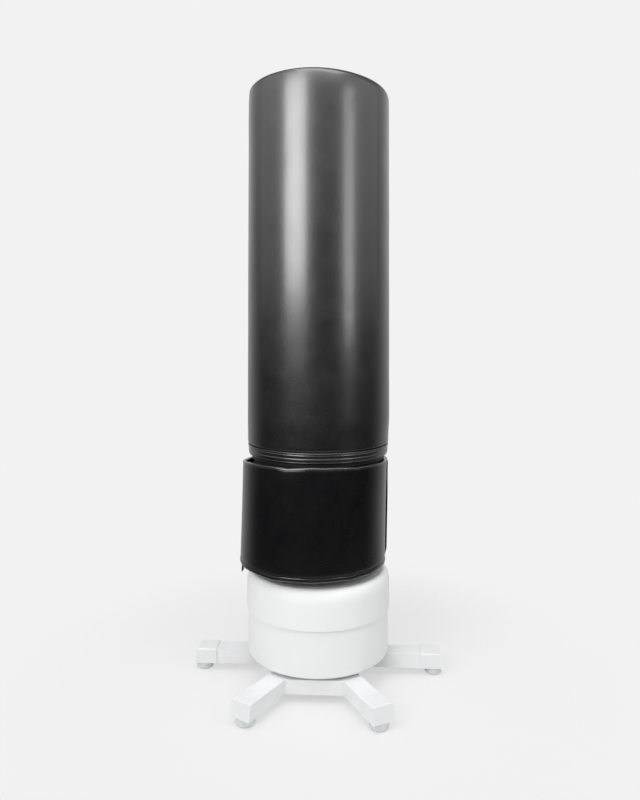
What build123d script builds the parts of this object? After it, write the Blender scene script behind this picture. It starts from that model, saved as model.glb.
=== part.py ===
from build123d import *
from math import cos, degrees, radians, sin, tan
import os

# Free-standing punch bag: a padded cylinder that leans on four springs, over a ballast drum
# bolted to a star of six box-section legs. A wrap closes the spring bay between them.
# Millimetres, +Z up, origin on the floor under the bag's axis, leg 1 along +X.

os.makedirs("parts", exist_ok=True)

# Clearances
slip_gap = 0.3  # between pieces that fit over, inside or beside each other
sewn_gap = 0.1  # between sewn pieces
bolt_gap = 0.5  # round a bolt in a plain hole
thread_gap = 0.05  # round a bolt in a threaded hole

# Feet
foot_radius = 24
foot_height = 22
foot_rounding = 7
foot_inset = 9  # from a leg tube's end in to the foot's centre
foot_hole_depth = 14

# Legs and their end caps
leg_count = 6
leg_width = 54
leg_height = 38
leg_wall = 2.5
leg_start = 62  # from the axis to a leg's inner end
leg_end = 336
end_cap_skin = 2.7
end_cap_length = 48  # how much of the tube an end cap covers
end_cap_nose_top = 8  # how far an end cap stands past the tube, at its top
end_cap_nose_bottom = 16
end_cap_rounding = 4

# Webs between the legs of each pair
web_steps = [0.5, 2.5, 4.5]  # where the webs stand, in steps from leg 1 round the star
web_sheet = 3
web_lip = 38  # height of the folded front edge, as high as the legs
web_start = 130
web_edge = 184  # from the axis to the folded front edge

# Hub plate
hub_radius = 150
hub_thickness = 8

# Ballast drum: a shell with a cover that fits down over it
drum_radius = 198.3
drum_wall = 4
drum_height = 229
drum_rounding = 6
shell_height = 160
cover_wall = 3.8
cover_start = 125  # from the drum's bottom up to the cover's lower edge
shoulder_rise = 36
shoulder_width = 18.4
sleeve_wall = 5.5
sand_depth = 116

# Filler and its cap
filler_margin = 5  # between the spring plate and the fill cap
filler_angle = 60
neck_radius = 18
neck_wall = 3
neck_height = 10
seal_thickness = 2
seal_width = 5
fill_cap_radius = 25
fill_cap_height = 14
fill_cap_roof = 5.4
grip_count = 12
grip_radius = 2

# Spring pack
plate_radius = 108
plate_thickness = 8
spring_margin = 33  # from the plate's edge in to the springs' centres
spring_angles = [0, 90, 180, 270]
spring_length = 130
spring_turns = 6
coil_radius = 22
wire_radius = 4
seat_height = 14
damper_radius = 34
damper_waist = 26
damper_flange = 10

# Bolts: shank radii, and how far they stand inside the edges of what they hold
tie_shank = 6
tie_steps = [0.5, 2.5, 3.5, 5.5]  # like the webs' steps
tie_tail = 14  # below the hub plate
leg_shank = 5
leg_bolt_pitch = 45
foot_shank = 5
core_shank = 5
core_angles = [45, 135, 225, 315]
core_tail = 12  # below the upper spring plate
disc_shank = 3
disc_tail = 6  # into the base disc
edge_margin = 16
head_spread = 1.8  # hexagon's corner radius over the shank's radius
head_height = 1.3  # over the shank's radius
nut_height = 1.6  # over the shank's radius

# Core
core_radius = 57
core_wall = 3
flange_thickness = 8
support_radius = 100
plug_depth = 12
plug_head = 3
disc_inset = 12  # from the bag's side in to the base disc's edge
disc_thickness = 8
bag_lift = 177  # from the core's foot up to the bag's underside

# Bag
bag_radius = 200
bag_height = 1030
bag_rounding = 18
skin = 2
pad_thickness = 60
band_inset = 2  # from the bag's side in to the band's face
band_height = 19
band_wall = 2.7
piping_radius = 2.4
piping_inset = 2.2  # from the bag's side in to the piping's centre
low_piping_radius = 2
low_piping_inset = 6.8

# Wrap round the spring bay
wrap_ease = 5  # from the bag's side out to the wrap's
wrap_shift = 12.5  # it hangs off centre, towards -X
wrap_skin = 2
wrap_lining_thickness = 5.7
wrap_gap = 10  # from the bag's underside down to the wrap
hem_gap = 20  # from the drum's top up to the wrap's hem
binding_sheet = 0.8
binding_height = 14
guard_wall = 12
guard_lift = 8  # from the hem up to the guard ring's lower edge

# Overlap flap, by angles round the wrap's own axis
flap_start = 8.3  # free edge
flap_end = 28.3  # root, where it turns
flap_skin = 2
flap_margin = 5  # below the wrap's top and above its hem
strip_margin = 1.2  # degrees from the flap's free edge to the strips
strip_thickness = 1.1
seam_width = 6

# Strap end under the hem
tab_width = 20
tab_length = 40
tab_thickness = 2

# Directions and circles round the axis
leg_step = 360 / leg_count
leg_angles = [i * leg_step for i in range(leg_count)]
web_angles = [step * leg_step for step in web_steps]
tie_angles = [step * leg_step for step in tie_steps]
foot_circle = leg_end - foot_inset
leg_bolt_circles = [hub_radius - edge_margin - leg_bolt_pitch, hub_radius - edge_margin]
plate_bolt_circle = plate_radius - edge_margin
spring_circle = plate_radius - spring_margin
filler_circle = plate_radius + filler_margin + fill_cap_radius
disc_circle = support_radius - edge_margin

# Levels
leg_bottom = foot_height
leg_top = leg_bottom + leg_height
drum_bottom = leg_top + hub_thickness
drum_top = drum_bottom + drum_height
cover_radius = drum_radius + slip_gap + cover_wall
spring_bottom = drum_top + plate_thickness
spring_top = spring_bottom + spring_length
core_bottom = spring_top + plate_thickness
bag_bottom = core_bottom + bag_lift
bag_top = bag_bottom + bag_height
core_top = bag_top - pad_thickness
disc_bottom = bag_bottom - disc_thickness
support_bottom = disc_bottom - flange_thickness
wrap_top = bag_bottom - wrap_gap
wrap_bottom = drum_top + hem_gap

# Radii that follow from others
wrap_radius = bag_radius + wrap_ease
wrap_inner = wrap_radius - wrap_skin - wrap_lining_thickness
wrap_axis = (-wrap_shift, 0)
sleeve_hole = tie_shank + bolt_gap
sleeve_radius = sleeve_hole + sleeve_wall
seat_radius = coil_radius - wire_radius - slip_gap
guard_radius = wrap_inner - sewn_gap - binding_sheet - wrap_shift - slip_gap


def spot(radius, angle):
    """A point at that distance from the axis, in that direction."""
    return (radius * cos(radians(angle)), radius * sin(radians(angle)))


def spots(radius, angles):
    """Such points in several directions."""
    return [spot(radius, angle) for angle in angles]


def side_plane(angle):
    """The upright plane through the axis whose x runs outwards in that direction and y upwards."""
    outwards = (*spot(1, angle), 0)
    sideways = (*spot(1, angle - 90), 0)
    return Plane(origin=(0, 0, 0), x_dir=outwards, z_dir=sideways)


def bolt_group(places, shank, seat, tip, nut_seat=None):
    """Hexagon bolts: the head stands on seat, the shank ends at tip, a nut may stand on nut_seat."""
    towards_tip = 1 if tip > seat else -1
    with BuildPart() as group:
        with BuildSketch(Plane.XY.offset(seat)):
            with Locations(*places):
                Circle(shank)
        extrude(amount=tip - seat)
        with BuildSketch(Plane.XY.offset(seat)):
            with Locations(*places):
                RegularPolygon(shank * head_spread, 6)
        extrude(amount=-towards_tip * shank * head_height)
        if nut_seat is not None:
            with BuildSketch(Plane.XY.offset(nut_seat)):
                with Locations(*places):
                    RegularPolygon(shank * head_spread, 6)
                    Circle(shank + thread_gap, mode=Mode.SUBTRACT)
            extrude(amount=towards_tip * shank * nut_height)
    return group


def drill(places, radius):
    """Round upright holes right through the part that is being built."""
    with Locations(*[(x, y, bag_top) for x, y in places]):
        Hole(radius, depth=bag_top)


def ring(outer, inner, bottom, top, centre=(0, 0)):
    """A plain upright ring."""
    with BuildPart() as hoop:
        with BuildSketch(Plane.XY.offset(bottom)):
            with Locations(centre):
                Circle(outer)
                Circle(inner, mode=Mode.SUBTRACT)
        extrude(amount=top - bottom)
    return hoop


def cord_ring(centre_radius, cord_radius, level):
    """A ring of round cord."""
    with BuildPart() as hoop:
        with BuildSketch(Plane.XZ):
            with Locations((centre_radius, level)):
                Circle(cord_radius)
        revolve(axis=Axis.Z)
    return hoop


def wrap_piece(outer, inner, start, end, bottom, top):
    """A curved strip on the wrap, between two angles round the wrap's own axis."""
    with BuildPart() as strip:
        with BuildSketch(Plane.XY.offset(bottom)):
            with BuildLine():
                far = CenterArc(wrap_axis, outer, start, end - start)
                near = CenterArc(wrap_axis, inner, start, end - start)
                Line(far @ 0, near @ 0)
                Line(far @ 1, near @ 1)
            make_face()
        extrude(amount=top - bottom)
    return strip


def binding(edge, direction):
    """A folded tape over one edge of the wrap. direction is 1 where the fold opens upwards."""
    outer = wrap_radius + sewn_gap + binding_sheet
    inner = wrap_inner - sewn_gap - binding_sheet
    with BuildPart() as tape:
        with BuildSketch(Plane.XY.offset(edge)):
            with Locations(wrap_axis):
                Circle(outer)
                Circle(inner, mode=Mode.SUBTRACT)
        extrude(amount=direction * binding_height)
        with BuildSketch(Plane.XY.offset(edge + direction * binding_sheet)):
            with Locations(wrap_axis):
                Circle(wrap_radius + sewn_gap)
                Circle(wrap_inner - sewn_gap, mode=Mode.SUBTRACT)
        extrude(amount=direction * binding_height, mode=Mode.SUBTRACT)
    return tape


# Legs, end caps and feet, one of each in every direction of the star
for number, angle in enumerate(leg_angles, start=1):
    with BuildPart() as leg_tube:
        with BuildSketch(side_plane(angle)):
            with Locations(((leg_start + leg_end) / 2, (leg_bottom + leg_top) / 2)):
                Rectangle(leg_end - leg_start, leg_height)
        extrude(amount=leg_width / 2, both=True)
        with BuildSketch(side_plane(angle)):
            with Locations(((leg_start + leg_end) / 2, (leg_bottom + leg_top) / 2)):
                Rectangle(leg_end - leg_start, leg_height - 2 * leg_wall)
        extrude(amount=leg_width / 2 - leg_wall, both=True, mode=Mode.SUBTRACT)
        drill([spot(r, angle) for r in leg_bolt_circles], leg_shank + bolt_gap)
        with BuildSketch(Plane.XY.offset(leg_bottom)):
            with Locations(spot(foot_circle, angle)):
                Circle(foot_shank + bolt_gap)
        extrude(amount=leg_wall, mode=Mode.SUBTRACT)
    leg_tube.part.label = f"leg_tube_{number}"
    export_step(leg_tube.part, f"parts/leg_tube_{number}.step")

    end_cap_top = leg_top + slip_gap + end_cap_skin
    end_cap_start = leg_end - end_cap_length
    with BuildPart() as end_cap:
        with BuildSketch(side_plane(angle)):
            Polygon(
                (end_cap_start, leg_bottom),
                (leg_end + end_cap_nose_bottom, leg_bottom),
                (leg_end + end_cap_nose_top, end_cap_top),
                (end_cap_start, end_cap_top),
                align=None,
            )
        extrude(amount=leg_width / 2 + slip_gap + end_cap_skin, both=True)
        fillet(end_cap.faces().sort_by(Axis.Z)[-1].edges(), end_cap_rounding)
        with BuildSketch(side_plane(angle)):
            with Locations((0, leg_bottom)):
                Rectangle(leg_end + slip_gap, leg_height + slip_gap, align=Align.MIN)
        extrude(amount=leg_width / 2 + slip_gap, both=True, mode=Mode.SUBTRACT)
    end_cap.part.label = f"end_cap_{number}"
    export_step(end_cap.part, f"parts/end_cap_{number}.step")

    with BuildPart() as foot:
        with BuildSketch():
            with Locations(spot(foot_circle, angle)):
                Circle(foot_radius)
        extrude(amount=foot_height)
        fillet(foot.edges().sort_by(Axis.Z)[0], foot_rounding)
        with BuildSketch(Plane.XY.offset(foot_height)):
            with Locations(spot(foot_circle, angle)):
                Circle(foot_shank + thread_gap)
        extrude(amount=-foot_hole_depth, mode=Mode.SUBTRACT)
    foot.part.label = f"foot_{number}"
    export_step(foot.part, f"parts/foot_{number}.step")

# Foot bolts stand inside the tubes and screw down into the feet
foot_bolt_seat = leg_bottom + leg_wall
foot_bolts = bolt_group(
    spots(foot_circle, leg_angles), foot_shank, foot_bolt_seat, foot_height - foot_hole_depth
)
foot_bolts.part.label = "foot_bolts"
export_step(foot_bolts.part, "parts/foot_bolts.step")

# Leg bolts pass up through the tubes and screw into the hub plate
leg_bolt_places = [spot(r, a) for a in leg_angles for r in leg_bolt_circles]
leg_bolts = bolt_group(leg_bolt_places, leg_shank, leg_bottom, drum_bottom - bolt_gap)
leg_bolts.part.label = "leg_bolts"
export_step(leg_bolts.part, "parts/leg_bolts.step")

# Webs: a folded sheet between the two legs of each pair, with an upright front edge
web_run = tan(radians(leg_step / 2))
web_inset = leg_width / 2 / cos(radians(leg_step / 2))
for number, angle in enumerate(web_angles, start=1):
    with BuildPart() as leg_web:
        for mode, reach, top in (
            (Mode.ADD, web_edge, leg_bottom + web_lip),
            (Mode.SUBTRACT, web_edge - web_sheet, leg_bottom + web_lip - web_sheet),
        ):
            start_half = web_start * web_run - web_inset
            reach_half = reach * web_run - web_inset
            with BuildSketch(Plane(origin=(0, 0, leg_bottom), x_dir=(*spot(1, angle), 0))):
                Polygon(
                    (web_start, -start_half),
                    (reach, -reach_half),
                    (reach, reach_half),
                    (web_start, start_half),
                    align=None,
                )
            extrude(amount=top - leg_bottom, mode=mode)
    leg_web.part.label = f"leg_web_{number}"
    export_step(leg_web.part, f"parts/leg_web_{number}.step")

with BuildPart() as hub_plate:
    with BuildSketch(Plane.XY.offset(leg_top)):
        Circle(hub_radius)
    extrude(amount=hub_thickness)
    drill(leg_bolt_places, leg_shank + thread_gap)
    drill(spots(plate_bolt_circle, tie_angles), tie_shank + bolt_gap)
hub_plate.part.label = "hub_plate"
export_step(hub_plate.part, "parts/hub_plate.step")

# Drum shell, with moulded sleeves round the tie bolts
with BuildPart() as drum_shell:
    with BuildSketch(Plane.XY.offset(drum_bottom)):
        Circle(drum_radius)
    extrude(amount=shell_height)
    fillet(drum_shell.edges().sort_by(Axis.Z)[0], drum_rounding)
    with BuildSketch(Plane.XY.offset(drum_bottom + drum_wall)):
        Circle(drum_radius - drum_wall)
    extrude(amount=shell_height, mode=Mode.SUBTRACT)
    with BuildSketch(Plane.XY.offset(drum_bottom)):
        with Locations(*spots(plate_bolt_circle, tie_angles)):
            Circle(sleeve_radius)
    extrude(amount=drum_height - cover_wall - slip_gap)
    drill(spots(plate_bolt_circle, tie_angles), sleeve_hole)
drum_shell.part.label = "drum_shell"
export_step(drum_shell.part, "parts/drum_shell.step")

sand_bottom = drum_bottom + drum_wall + slip_gap
with BuildPart() as sand_ballast:
    with BuildSketch(Plane.XY.offset(sand_bottom)):
        Circle(drum_radius - drum_wall - slip_gap)
    extrude(amount=sand_depth)
    drill(spots(plate_bolt_circle, tie_angles), sleeve_radius + slip_gap)
sand_ballast.part.label = "sand_ballast"
export_step(sand_ballast.part, "parts/sand_ballast.step")

# Drum cover: straight skirt, elliptical shoulder, flat top with the filler's neck
shoulder_level = drum_top - shoulder_rise
flat_radius = cover_radius - shoulder_width
skirt_inner = cover_radius - cover_wall
skirt_bottom = drum_bottom + cover_start
filler = spot(filler_circle, filler_angle)
with BuildPart() as drum_cover:
    with BuildSketch(Plane.XZ):
        with BuildLine():
            Polyline(
                (skirt_inner, shoulder_level),
                (skirt_inner, skirt_bottom),
                (cover_radius, skirt_bottom),
                (cover_radius, shoulder_level),
            )
            EllipticalCenterArc(
                (flat_radius, shoulder_level), shoulder_width, shoulder_rise, 0, arc_size=90
            )
            Polyline(
                (flat_radius, drum_top),
                (0, drum_top),
                (0, drum_top - cover_wall),
                (flat_radius, drum_top - cover_wall),
            )
            EllipticalCenterArc(
                (flat_radius, shoulder_level),
                shoulder_width - cover_wall,
                shoulder_rise - cover_wall,
                0,
                arc_size=90,
            )
        make_face()
    revolve(axis=Axis.Z)
    drill(spots(plate_bolt_circle, tie_angles), sleeve_hole)
    with BuildSketch(Plane.XY.offset(drum_top)):
        with Locations(filler):
            Circle(neck_radius)
    extrude(amount=neck_height)
    drill([filler], neck_radius - neck_wall)
drum_cover.part.label = "drum_cover"
export_step(drum_cover.part, "parts/drum_cover.step")

fill_seal = ring(
    neck_radius + slip_gap + seal_width, neck_radius + slip_gap, drum_top, drum_top + seal_thickness, filler
)
fill_seal.part.label = "fill_seal"
export_step(fill_seal.part, "parts/fill_seal.step")

# Fill cap: a cup over the neck, with grip hollows round its rim
fill_cap_bottom = drum_top + seal_thickness + slip_gap
with BuildPart() as fill_cap:
    with BuildSketch(Plane.XY.offset(fill_cap_bottom)):
        with Locations(filler):
            Circle(fill_cap_radius)
            with PolarLocations(fill_cap_radius, grip_count):
                Circle(grip_radius, mode=Mode.SUBTRACT)
    extrude(amount=fill_cap_height)
    with BuildSketch(Plane.XY.offset(fill_cap_bottom)):
        with Locations(filler):
            Circle(neck_radius + slip_gap)
    extrude(amount=fill_cap_height - fill_cap_roof, mode=Mode.SUBTRACT)
fill_cap.part.label = "fill_cap"
export_step(fill_cap.part, "parts/fill_cap.step")

# Spring plates, with a round seat inside each end of each spring
for name, plate_bottom, seat_start, seat_side, holes, hole_radius in (
    ("lower_spring_plate", drum_top, spring_bottom, 1, spots(plate_bolt_circle, tie_angles), sleeve_hole),
    (
        "upper_spring_plate",
        spring_top,
        spring_top,
        -1,
        spots(plate_bolt_circle, core_angles),
        core_shank + bolt_gap,
    ),
):
    with BuildPart() as spring_plate:
        with BuildSketch(Plane.XY.offset(plate_bottom)):
            Circle(plate_radius)
        extrude(amount=plate_thickness)
        with BuildSketch(Plane.XY.offset(seat_start)):
            with Locations(*spots(spring_circle, spring_angles)):
                Circle(seat_radius)
        extrude(amount=seat_side * seat_height)
        drill(holes, hole_radius)
    spring_plate.part.label = name
    export_step(spring_plate.part, f"parts/{name}.step")

# Coil springs
coil_bottom = spring_bottom + wire_radius + slip_gap
coil_height = spring_length - 2 * (wire_radius + slip_gap)
for number, angle in enumerate(spring_angles, start=1):
    with BuildPart() as spring:
        with BuildLine() as coil:
            Helix(
                pitch=coil_height / spring_turns,
                height=coil_height,
                radius=coil_radius,
                center=(*spot(spring_circle, angle), coil_bottom),
            )
        with BuildSketch(Plane(origin=coil.line @ 0, z_dir=coil.line % 0)):
            Circle(wire_radius)
        sweep(is_frenet=True)
    spring.part.label = f"spring_{number}"
    export_step(spring.part, f"parts/spring_{number}.step")

# Rubber centre damper, waisted between two flanges
with BuildPart() as centre_damper:
    with BuildSketch(Plane.XZ):
        with BuildLine():
            Polyline(
                (0, spring_bottom),
                (damper_radius, spring_bottom),
                (damper_radius, spring_bottom + damper_flange),
            )
            ThreePointArc(
                (damper_radius, spring_bottom + damper_flange),
                (damper_waist, (spring_bottom + spring_top) / 2),
                (damper_radius, spring_top - damper_flange),
            )
            Polyline(
                (damper_radius, spring_top - damper_flange),
                (damper_radius, spring_top),
                (0, spring_top),
                (0, spring_bottom),
            )
        make_face()
    revolve(axis=Axis.Z)
centre_damper.part.label = "centre_damper"
export_step(centre_damper.part, "parts/centre_damper.step")

# Tie bolts hold the lower plate, the drum and the hub plate together
tie_bolts = bolt_group(
    spots(plate_bolt_circle, tie_angles), tie_shank, spring_bottom, leg_top - tie_tail, leg_top
)
tie_bolts.part.label = "tie_bolts"
export_step(tie_bolts.part, "parts/tie_bolts.step")

core_bolts = bolt_group(
    spots(plate_bolt_circle, core_angles),
    core_shank,
    core_bottom + flange_thickness,
    spring_top - core_tail,
    spring_top,
)
core_bolts.part.label = "core_bolts"
export_step(core_bolts.part, "parts/core_bolts.step")

# Core tube, with a foot flange and a flange that carries the bag
with BuildPart() as core_tube:
    with BuildSketch(Plane.XY.offset(core_bottom)):
        Circle(core_radius)
    extrude(amount=core_top - core_bottom)
    with BuildSketch(Plane.XY.offset(core_bottom)):
        Circle(plate_radius)
    extrude(amount=flange_thickness)
    with BuildSketch(Plane.XY.offset(support_bottom)):
        Circle(support_radius)
    extrude(amount=flange_thickness)
    drill([(0, 0)], core_radius - core_wall)
    with BuildSketch(Plane.XY.offset(core_bottom)):
        with Locations(*spots(plate_bolt_circle, core_angles)):
            Circle(core_shank + bolt_gap)
    extrude(amount=flange_thickness, mode=Mode.SUBTRACT)
    with BuildSketch(Plane.XY.offset(support_bottom)):
        with Locations(*spots(disc_circle, core_angles)):
            Circle(disc_shank + bolt_gap)
    extrude(amount=flange_thickness, mode=Mode.SUBTRACT)
core_tube.part.label = "core_tube"
export_step(core_tube.part, "parts/core_tube.step")

with BuildPart() as core_plug:
    with BuildSketch(Plane.XY.offset(core_top)):
        Circle(core_radius - core_wall - slip_gap)
    extrude(amount=-plug_depth)
    with BuildSketch(Plane.XY.offset(core_top)):
        Circle(core_radius)
    extrude(amount=plug_head)
core_plug.part.label = "core_plug"
export_step(core_plug.part, "parts/core_plug.step")

with BuildPart() as base_disc:
    with BuildSketch(Plane.XY.offset(disc_bottom)):
        Circle(bag_radius - disc_inset)
        Circle(core_radius + slip_gap, mode=Mode.SUBTRACT)
        with Locations(*spots(disc_circle, core_angles)):
            Circle(disc_shank + thread_gap, mode=Mode.SUBTRACT)
    extrude(amount=disc_thickness)
base_disc.part.label = "base_disc"
export_step(base_disc.part, "parts/base_disc.step")

disc_bolts = bolt_group(
    spots(disc_circle, core_angles), disc_shank, support_bottom, disc_bottom + disc_tail
)
disc_bolts.part.label = "disc_bolts"
export_step(disc_bolts.part, "parts/disc_bolts.step")

# Guard ring of firm foam under the base disc, which carries the wrap
guard_ring = ring(guard_radius, guard_radius - guard_wall, wrap_bottom + guard_lift, disc_bottom)
guard_ring.part.label = "guard_ring"
export_step(guard_ring.part, "parts/guard_ring.step")

# The bag's foot, from below: panel, low piping, band, piping, cover
panel_top = bag_bottom + skin
low_piping_level = panel_top + slip_gap + low_piping_radius
band_bottom = low_piping_level + low_piping_radius + slip_gap
band_top = band_bottom + band_height
piping_level = band_top + slip_gap + piping_radius
cover_bottom = piping_level + piping_radius + slip_gap
band_radius = bag_radius - band_inset
low_piping_circle = bag_radius - low_piping_inset
low_foam_radius = low_piping_circle - low_piping_radius - slip_gap
band_foam_radius = band_radius - band_wall - slip_gap
foam_radius = bag_radius - skin - slip_gap

bottom_panel = ring(low_foam_radius, core_radius + slip_gap, bag_bottom, panel_top)
bottom_panel.part.label = "bottom_panel"
export_step(bottom_panel.part, "parts/bottom_panel.step")

low_piping = cord_ring(low_piping_circle, low_piping_radius, low_piping_level)
low_piping.part.label = "low_piping"
export_step(low_piping.part, "parts/low_piping.step")

bag_band = ring(band_radius, band_radius - band_wall, band_bottom, band_top)
bag_band.part.label = "bag_band"
export_step(bag_band.part, "parts/bag_band.step")

bag_piping = cord_ring(bag_radius - piping_inset, piping_radius, piping_level)
bag_piping.part.label = "bag_piping"
export_step(bag_piping.part, "parts/bag_piping.step")

with BuildPart() as foam_body:
    for radius, start, end in (
        (low_foam_radius, panel_top + slip_gap, band_bottom),
        (band_foam_radius, band_bottom, cover_bottom),
        (foam_radius, cover_bottom, core_top),
    ):
        with BuildSketch(Plane.XY.offset(start)):
            Circle(radius)
            Circle(core_radius + slip_gap, mode=Mode.SUBTRACT)
        extrude(amount=end - start)
foam_body.part.label = "foam_body"
export_step(foam_body.part, "parts/foam_body.step")

with BuildPart() as top_pad:
    with BuildSketch(Plane.XY.offset(core_top + slip_gap)):
        Circle(foam_radius)
    extrude(amount=pad_thickness - skin - 2 * slip_gap)
    fillet(top_pad.edges().sort_by(Axis.Z)[-1], bag_rounding - skin)
    with BuildSketch(Plane.XY.offset(core_top)):
        Circle(core_radius + slip_gap)
    extrude(amount=plug_head + slip_gap, mode=Mode.SUBTRACT)
top_pad.part.label = "top_pad"
export_step(top_pad.part, "parts/top_pad.step")

with BuildPart() as bag_cover:
    with BuildSketch(Plane.XY.offset(cover_bottom)):
        Circle(bag_radius)
    extrude(amount=bag_top - cover_bottom)
    fillet(bag_cover.edges().sort_by(Axis.Z)[-1], bag_rounding)
    offset(amount=-skin, openings=bag_cover.faces().sort_by(Axis.Z)[0])
bag_cover.part.label = "bag_cover"
export_step(bag_cover.part, "parts/bag_cover.step")

# Wrap: outer skin and foam lining, with a folded tape over each edge
fold = binding_sheet + sewn_gap
wrap_panel = ring(wrap_radius, wrap_radius - wrap_skin, wrap_bottom + fold, wrap_top - fold, wrap_axis)
wrap_panel.part.label = "wrap_panel"
export_step(wrap_panel.part, "parts/wrap_panel.step")

lining_outer = wrap_radius - wrap_skin - sewn_gap
wrap_lining = ring(lining_outer, wrap_inner, wrap_bottom + fold, wrap_top - fold, wrap_axis)
wrap_lining.part.label = "wrap_lining"
export_step(wrap_lining.part, "parts/wrap_lining.step")

wrap_top_binding = binding(wrap_top, -1)
wrap_top_binding.part.label = "wrap_top_binding"
export_step(wrap_top_binding.part, "parts/wrap_top_binding.step")

wrap_hem_binding = binding(wrap_bottom, 1)
wrap_hem_binding.part.label = "wrap_hem_binding"
export_step(wrap_hem_binding.part, "parts/wrap_hem_binding.step")

# Overlap flap over its two fastening strips, and the seam that it is sewn along
hook_inner = wrap_radius + sewn_gap
loop_inner = hook_inner + strip_thickness + slip_gap
loop_outer = loop_inner + strip_thickness
flap_inner = loop_outer + sewn_gap
flap_outer = flap_inner + flap_skin
strip_bottom = wrap_bottom + binding_height + slip_gap
strip_top = wrap_top - binding_height - slip_gap

hook_strip = wrap_piece(
    hook_inner + strip_thickness,
    hook_inner,
    flap_start + strip_margin,
    flap_end - strip_margin,
    strip_bottom,
    strip_top,
)
hook_strip.part.label = "hook_strip"
export_step(hook_strip.part, "parts/hook_strip.step")

loop_strip = wrap_piece(
    loop_outer, loop_inner, flap_start + strip_margin, flap_end - strip_margin, strip_bottom, strip_top
)
loop_strip.part.label = "loop_strip"
export_step(loop_strip.part, "parts/loop_strip.step")

wrap_flap = wrap_piece(
    flap_outer, flap_inner, flap_start, flap_end, wrap_bottom + flap_margin, wrap_top - flap_margin
)
wrap_flap.part.label = "wrap_flap"
export_step(wrap_flap.part, "parts/wrap_flap.step")

seam_start = flap_end + degrees(2 * slip_gap / flap_outer)
flap_seam = wrap_piece(
    flap_outer,
    hook_inner,
    seam_start,
    seam_start + degrees(seam_width / flap_outer),
    strip_bottom,
    strip_top,
)
flap_seam.part.label = "flap_seam"
export_step(flap_seam.part, "parts/flap_seam.step")

# Strap end under the hem, on the side away from the flap
with BuildPart() as strap_end:
    with BuildSketch(Plane.XY.offset(wrap_bottom)):
        with Locations((-wrap_shift - wrap_radius + tab_thickness / 2, 0)):
            Rectangle(tab_thickness, tab_width)
    extrude(amount=-tab_length)
strap_end.part.label = "strap_end"
export_step(strap_end.part, "parts/strap_end.step")
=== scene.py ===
"""Free-standing punch bag on a six-legged ballast base: its looks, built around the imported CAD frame.

The bag's vinyl skin, its foot trim, the wrap with its bound edges and overlap flap, the foam guard
and the springs are modelled here. Legs, caps, feet, drum, plates and bolts are the frame's own solids
with finished materials. Sizes are in millimetres where a name or docstring says so, otherwise metres.
"""

import logging
from collections.abc import Callable, Iterator
from contextlib import contextmanager
from dataclasses import dataclass
from enum import Enum
from functools import cache
from math import atan2, cos, hypot, pi, radians, sin

import bpy
from mathutils import Matrix, Vector, noise


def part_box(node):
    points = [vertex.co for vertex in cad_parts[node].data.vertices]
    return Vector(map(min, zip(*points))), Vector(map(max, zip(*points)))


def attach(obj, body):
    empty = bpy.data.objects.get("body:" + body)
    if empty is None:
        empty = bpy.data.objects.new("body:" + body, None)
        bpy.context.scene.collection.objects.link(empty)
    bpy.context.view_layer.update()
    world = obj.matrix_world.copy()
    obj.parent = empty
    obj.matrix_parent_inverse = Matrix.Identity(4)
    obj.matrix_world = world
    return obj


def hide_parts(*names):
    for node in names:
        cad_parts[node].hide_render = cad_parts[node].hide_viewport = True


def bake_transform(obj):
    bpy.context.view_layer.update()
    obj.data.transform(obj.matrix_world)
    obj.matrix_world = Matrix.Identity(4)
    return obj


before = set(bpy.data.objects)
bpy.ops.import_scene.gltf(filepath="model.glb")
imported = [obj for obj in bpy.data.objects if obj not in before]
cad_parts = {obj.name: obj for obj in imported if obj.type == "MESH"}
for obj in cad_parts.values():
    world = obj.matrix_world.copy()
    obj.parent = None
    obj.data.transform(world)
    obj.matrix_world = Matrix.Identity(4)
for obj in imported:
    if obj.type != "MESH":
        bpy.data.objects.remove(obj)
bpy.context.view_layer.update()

MM = 0.001
LOG = logging.getLogger("punch_bag")
Profile = list[tuple[float, float]]
Waves = tuple[tuple[int, float, float], ...]
Shape = Callable[[float, float], tuple[float, float, float]]


class Body(str, Enum):
    """The frame's moving bodies."""

    BASE = "base"
    SPRINGS = "spring_centre"
    BAG = "bag"
    FLAP = "flap"
    FILLER = "filler_cap"


class Slot(str, Enum):
    """The record's material slot names."""

    VINYL = "vinyl"
    WRAP = "wrap_vinyl"
    FOAM = "foam"
    WEBBING = "webbing"
    SPRING = "spring_steel"
    RUBBER = "damper_rubber"


# ---------------------------------------------------------------- materials


def linear(colour: str) -> tuple[float, float, float, float]:
    """Turns an sRGB hex colour to linear light.

    Args:
        colour: The colour, such as "#1B1B1D".

    Returns:
        Red, green, blue and an alpha of 1.
    """
    parts = [int(colour[i : i + 2], 16) / 255 for i in (1, 3, 5)]
    return (*[p / 12.92 if p <= 0.04045 else ((p + 0.055) / 1.055) ** 2.4 for p in parts], 1.0)


def per_metre(size_mm: float) -> float:
    """The texture scale that repeats about once in size_mm."""
    return 1 / (size_mm * MM)


def bands_per_metre(size_mm: float) -> float:
    """The Wave texture's scale whose bands, and the gaps between them, are each size_mm wide."""
    return per_metre(size_mm) / 20 * pi


def add(
    tree: bpy.types.NodeTree, kind: str, inputs: dict[str | int, object] | None = None, **settings: object
) -> bpy.types.Node:
    """Adds a node to a tree, with its settings and links.

    Args:
        tree: The node tree.
        kind: The node's type, such as "ShaderNodeTexNoise".
        inputs: Its sockets by name or number, each with a value or with an output to link.
        **settings: The node's own properties.

    Returns:
        The new node.
    """
    made = tree.nodes.new(kind)
    for key, value in settings.items():
        setattr(made, key, value)
    for key, value in (inputs or {}).items():
        if isinstance(value, bpy.types.NodeSocket):
            tree.links.new(value, made.inputs[key])
        else:
            made.inputs[key].default_value = value
    return made


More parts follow.
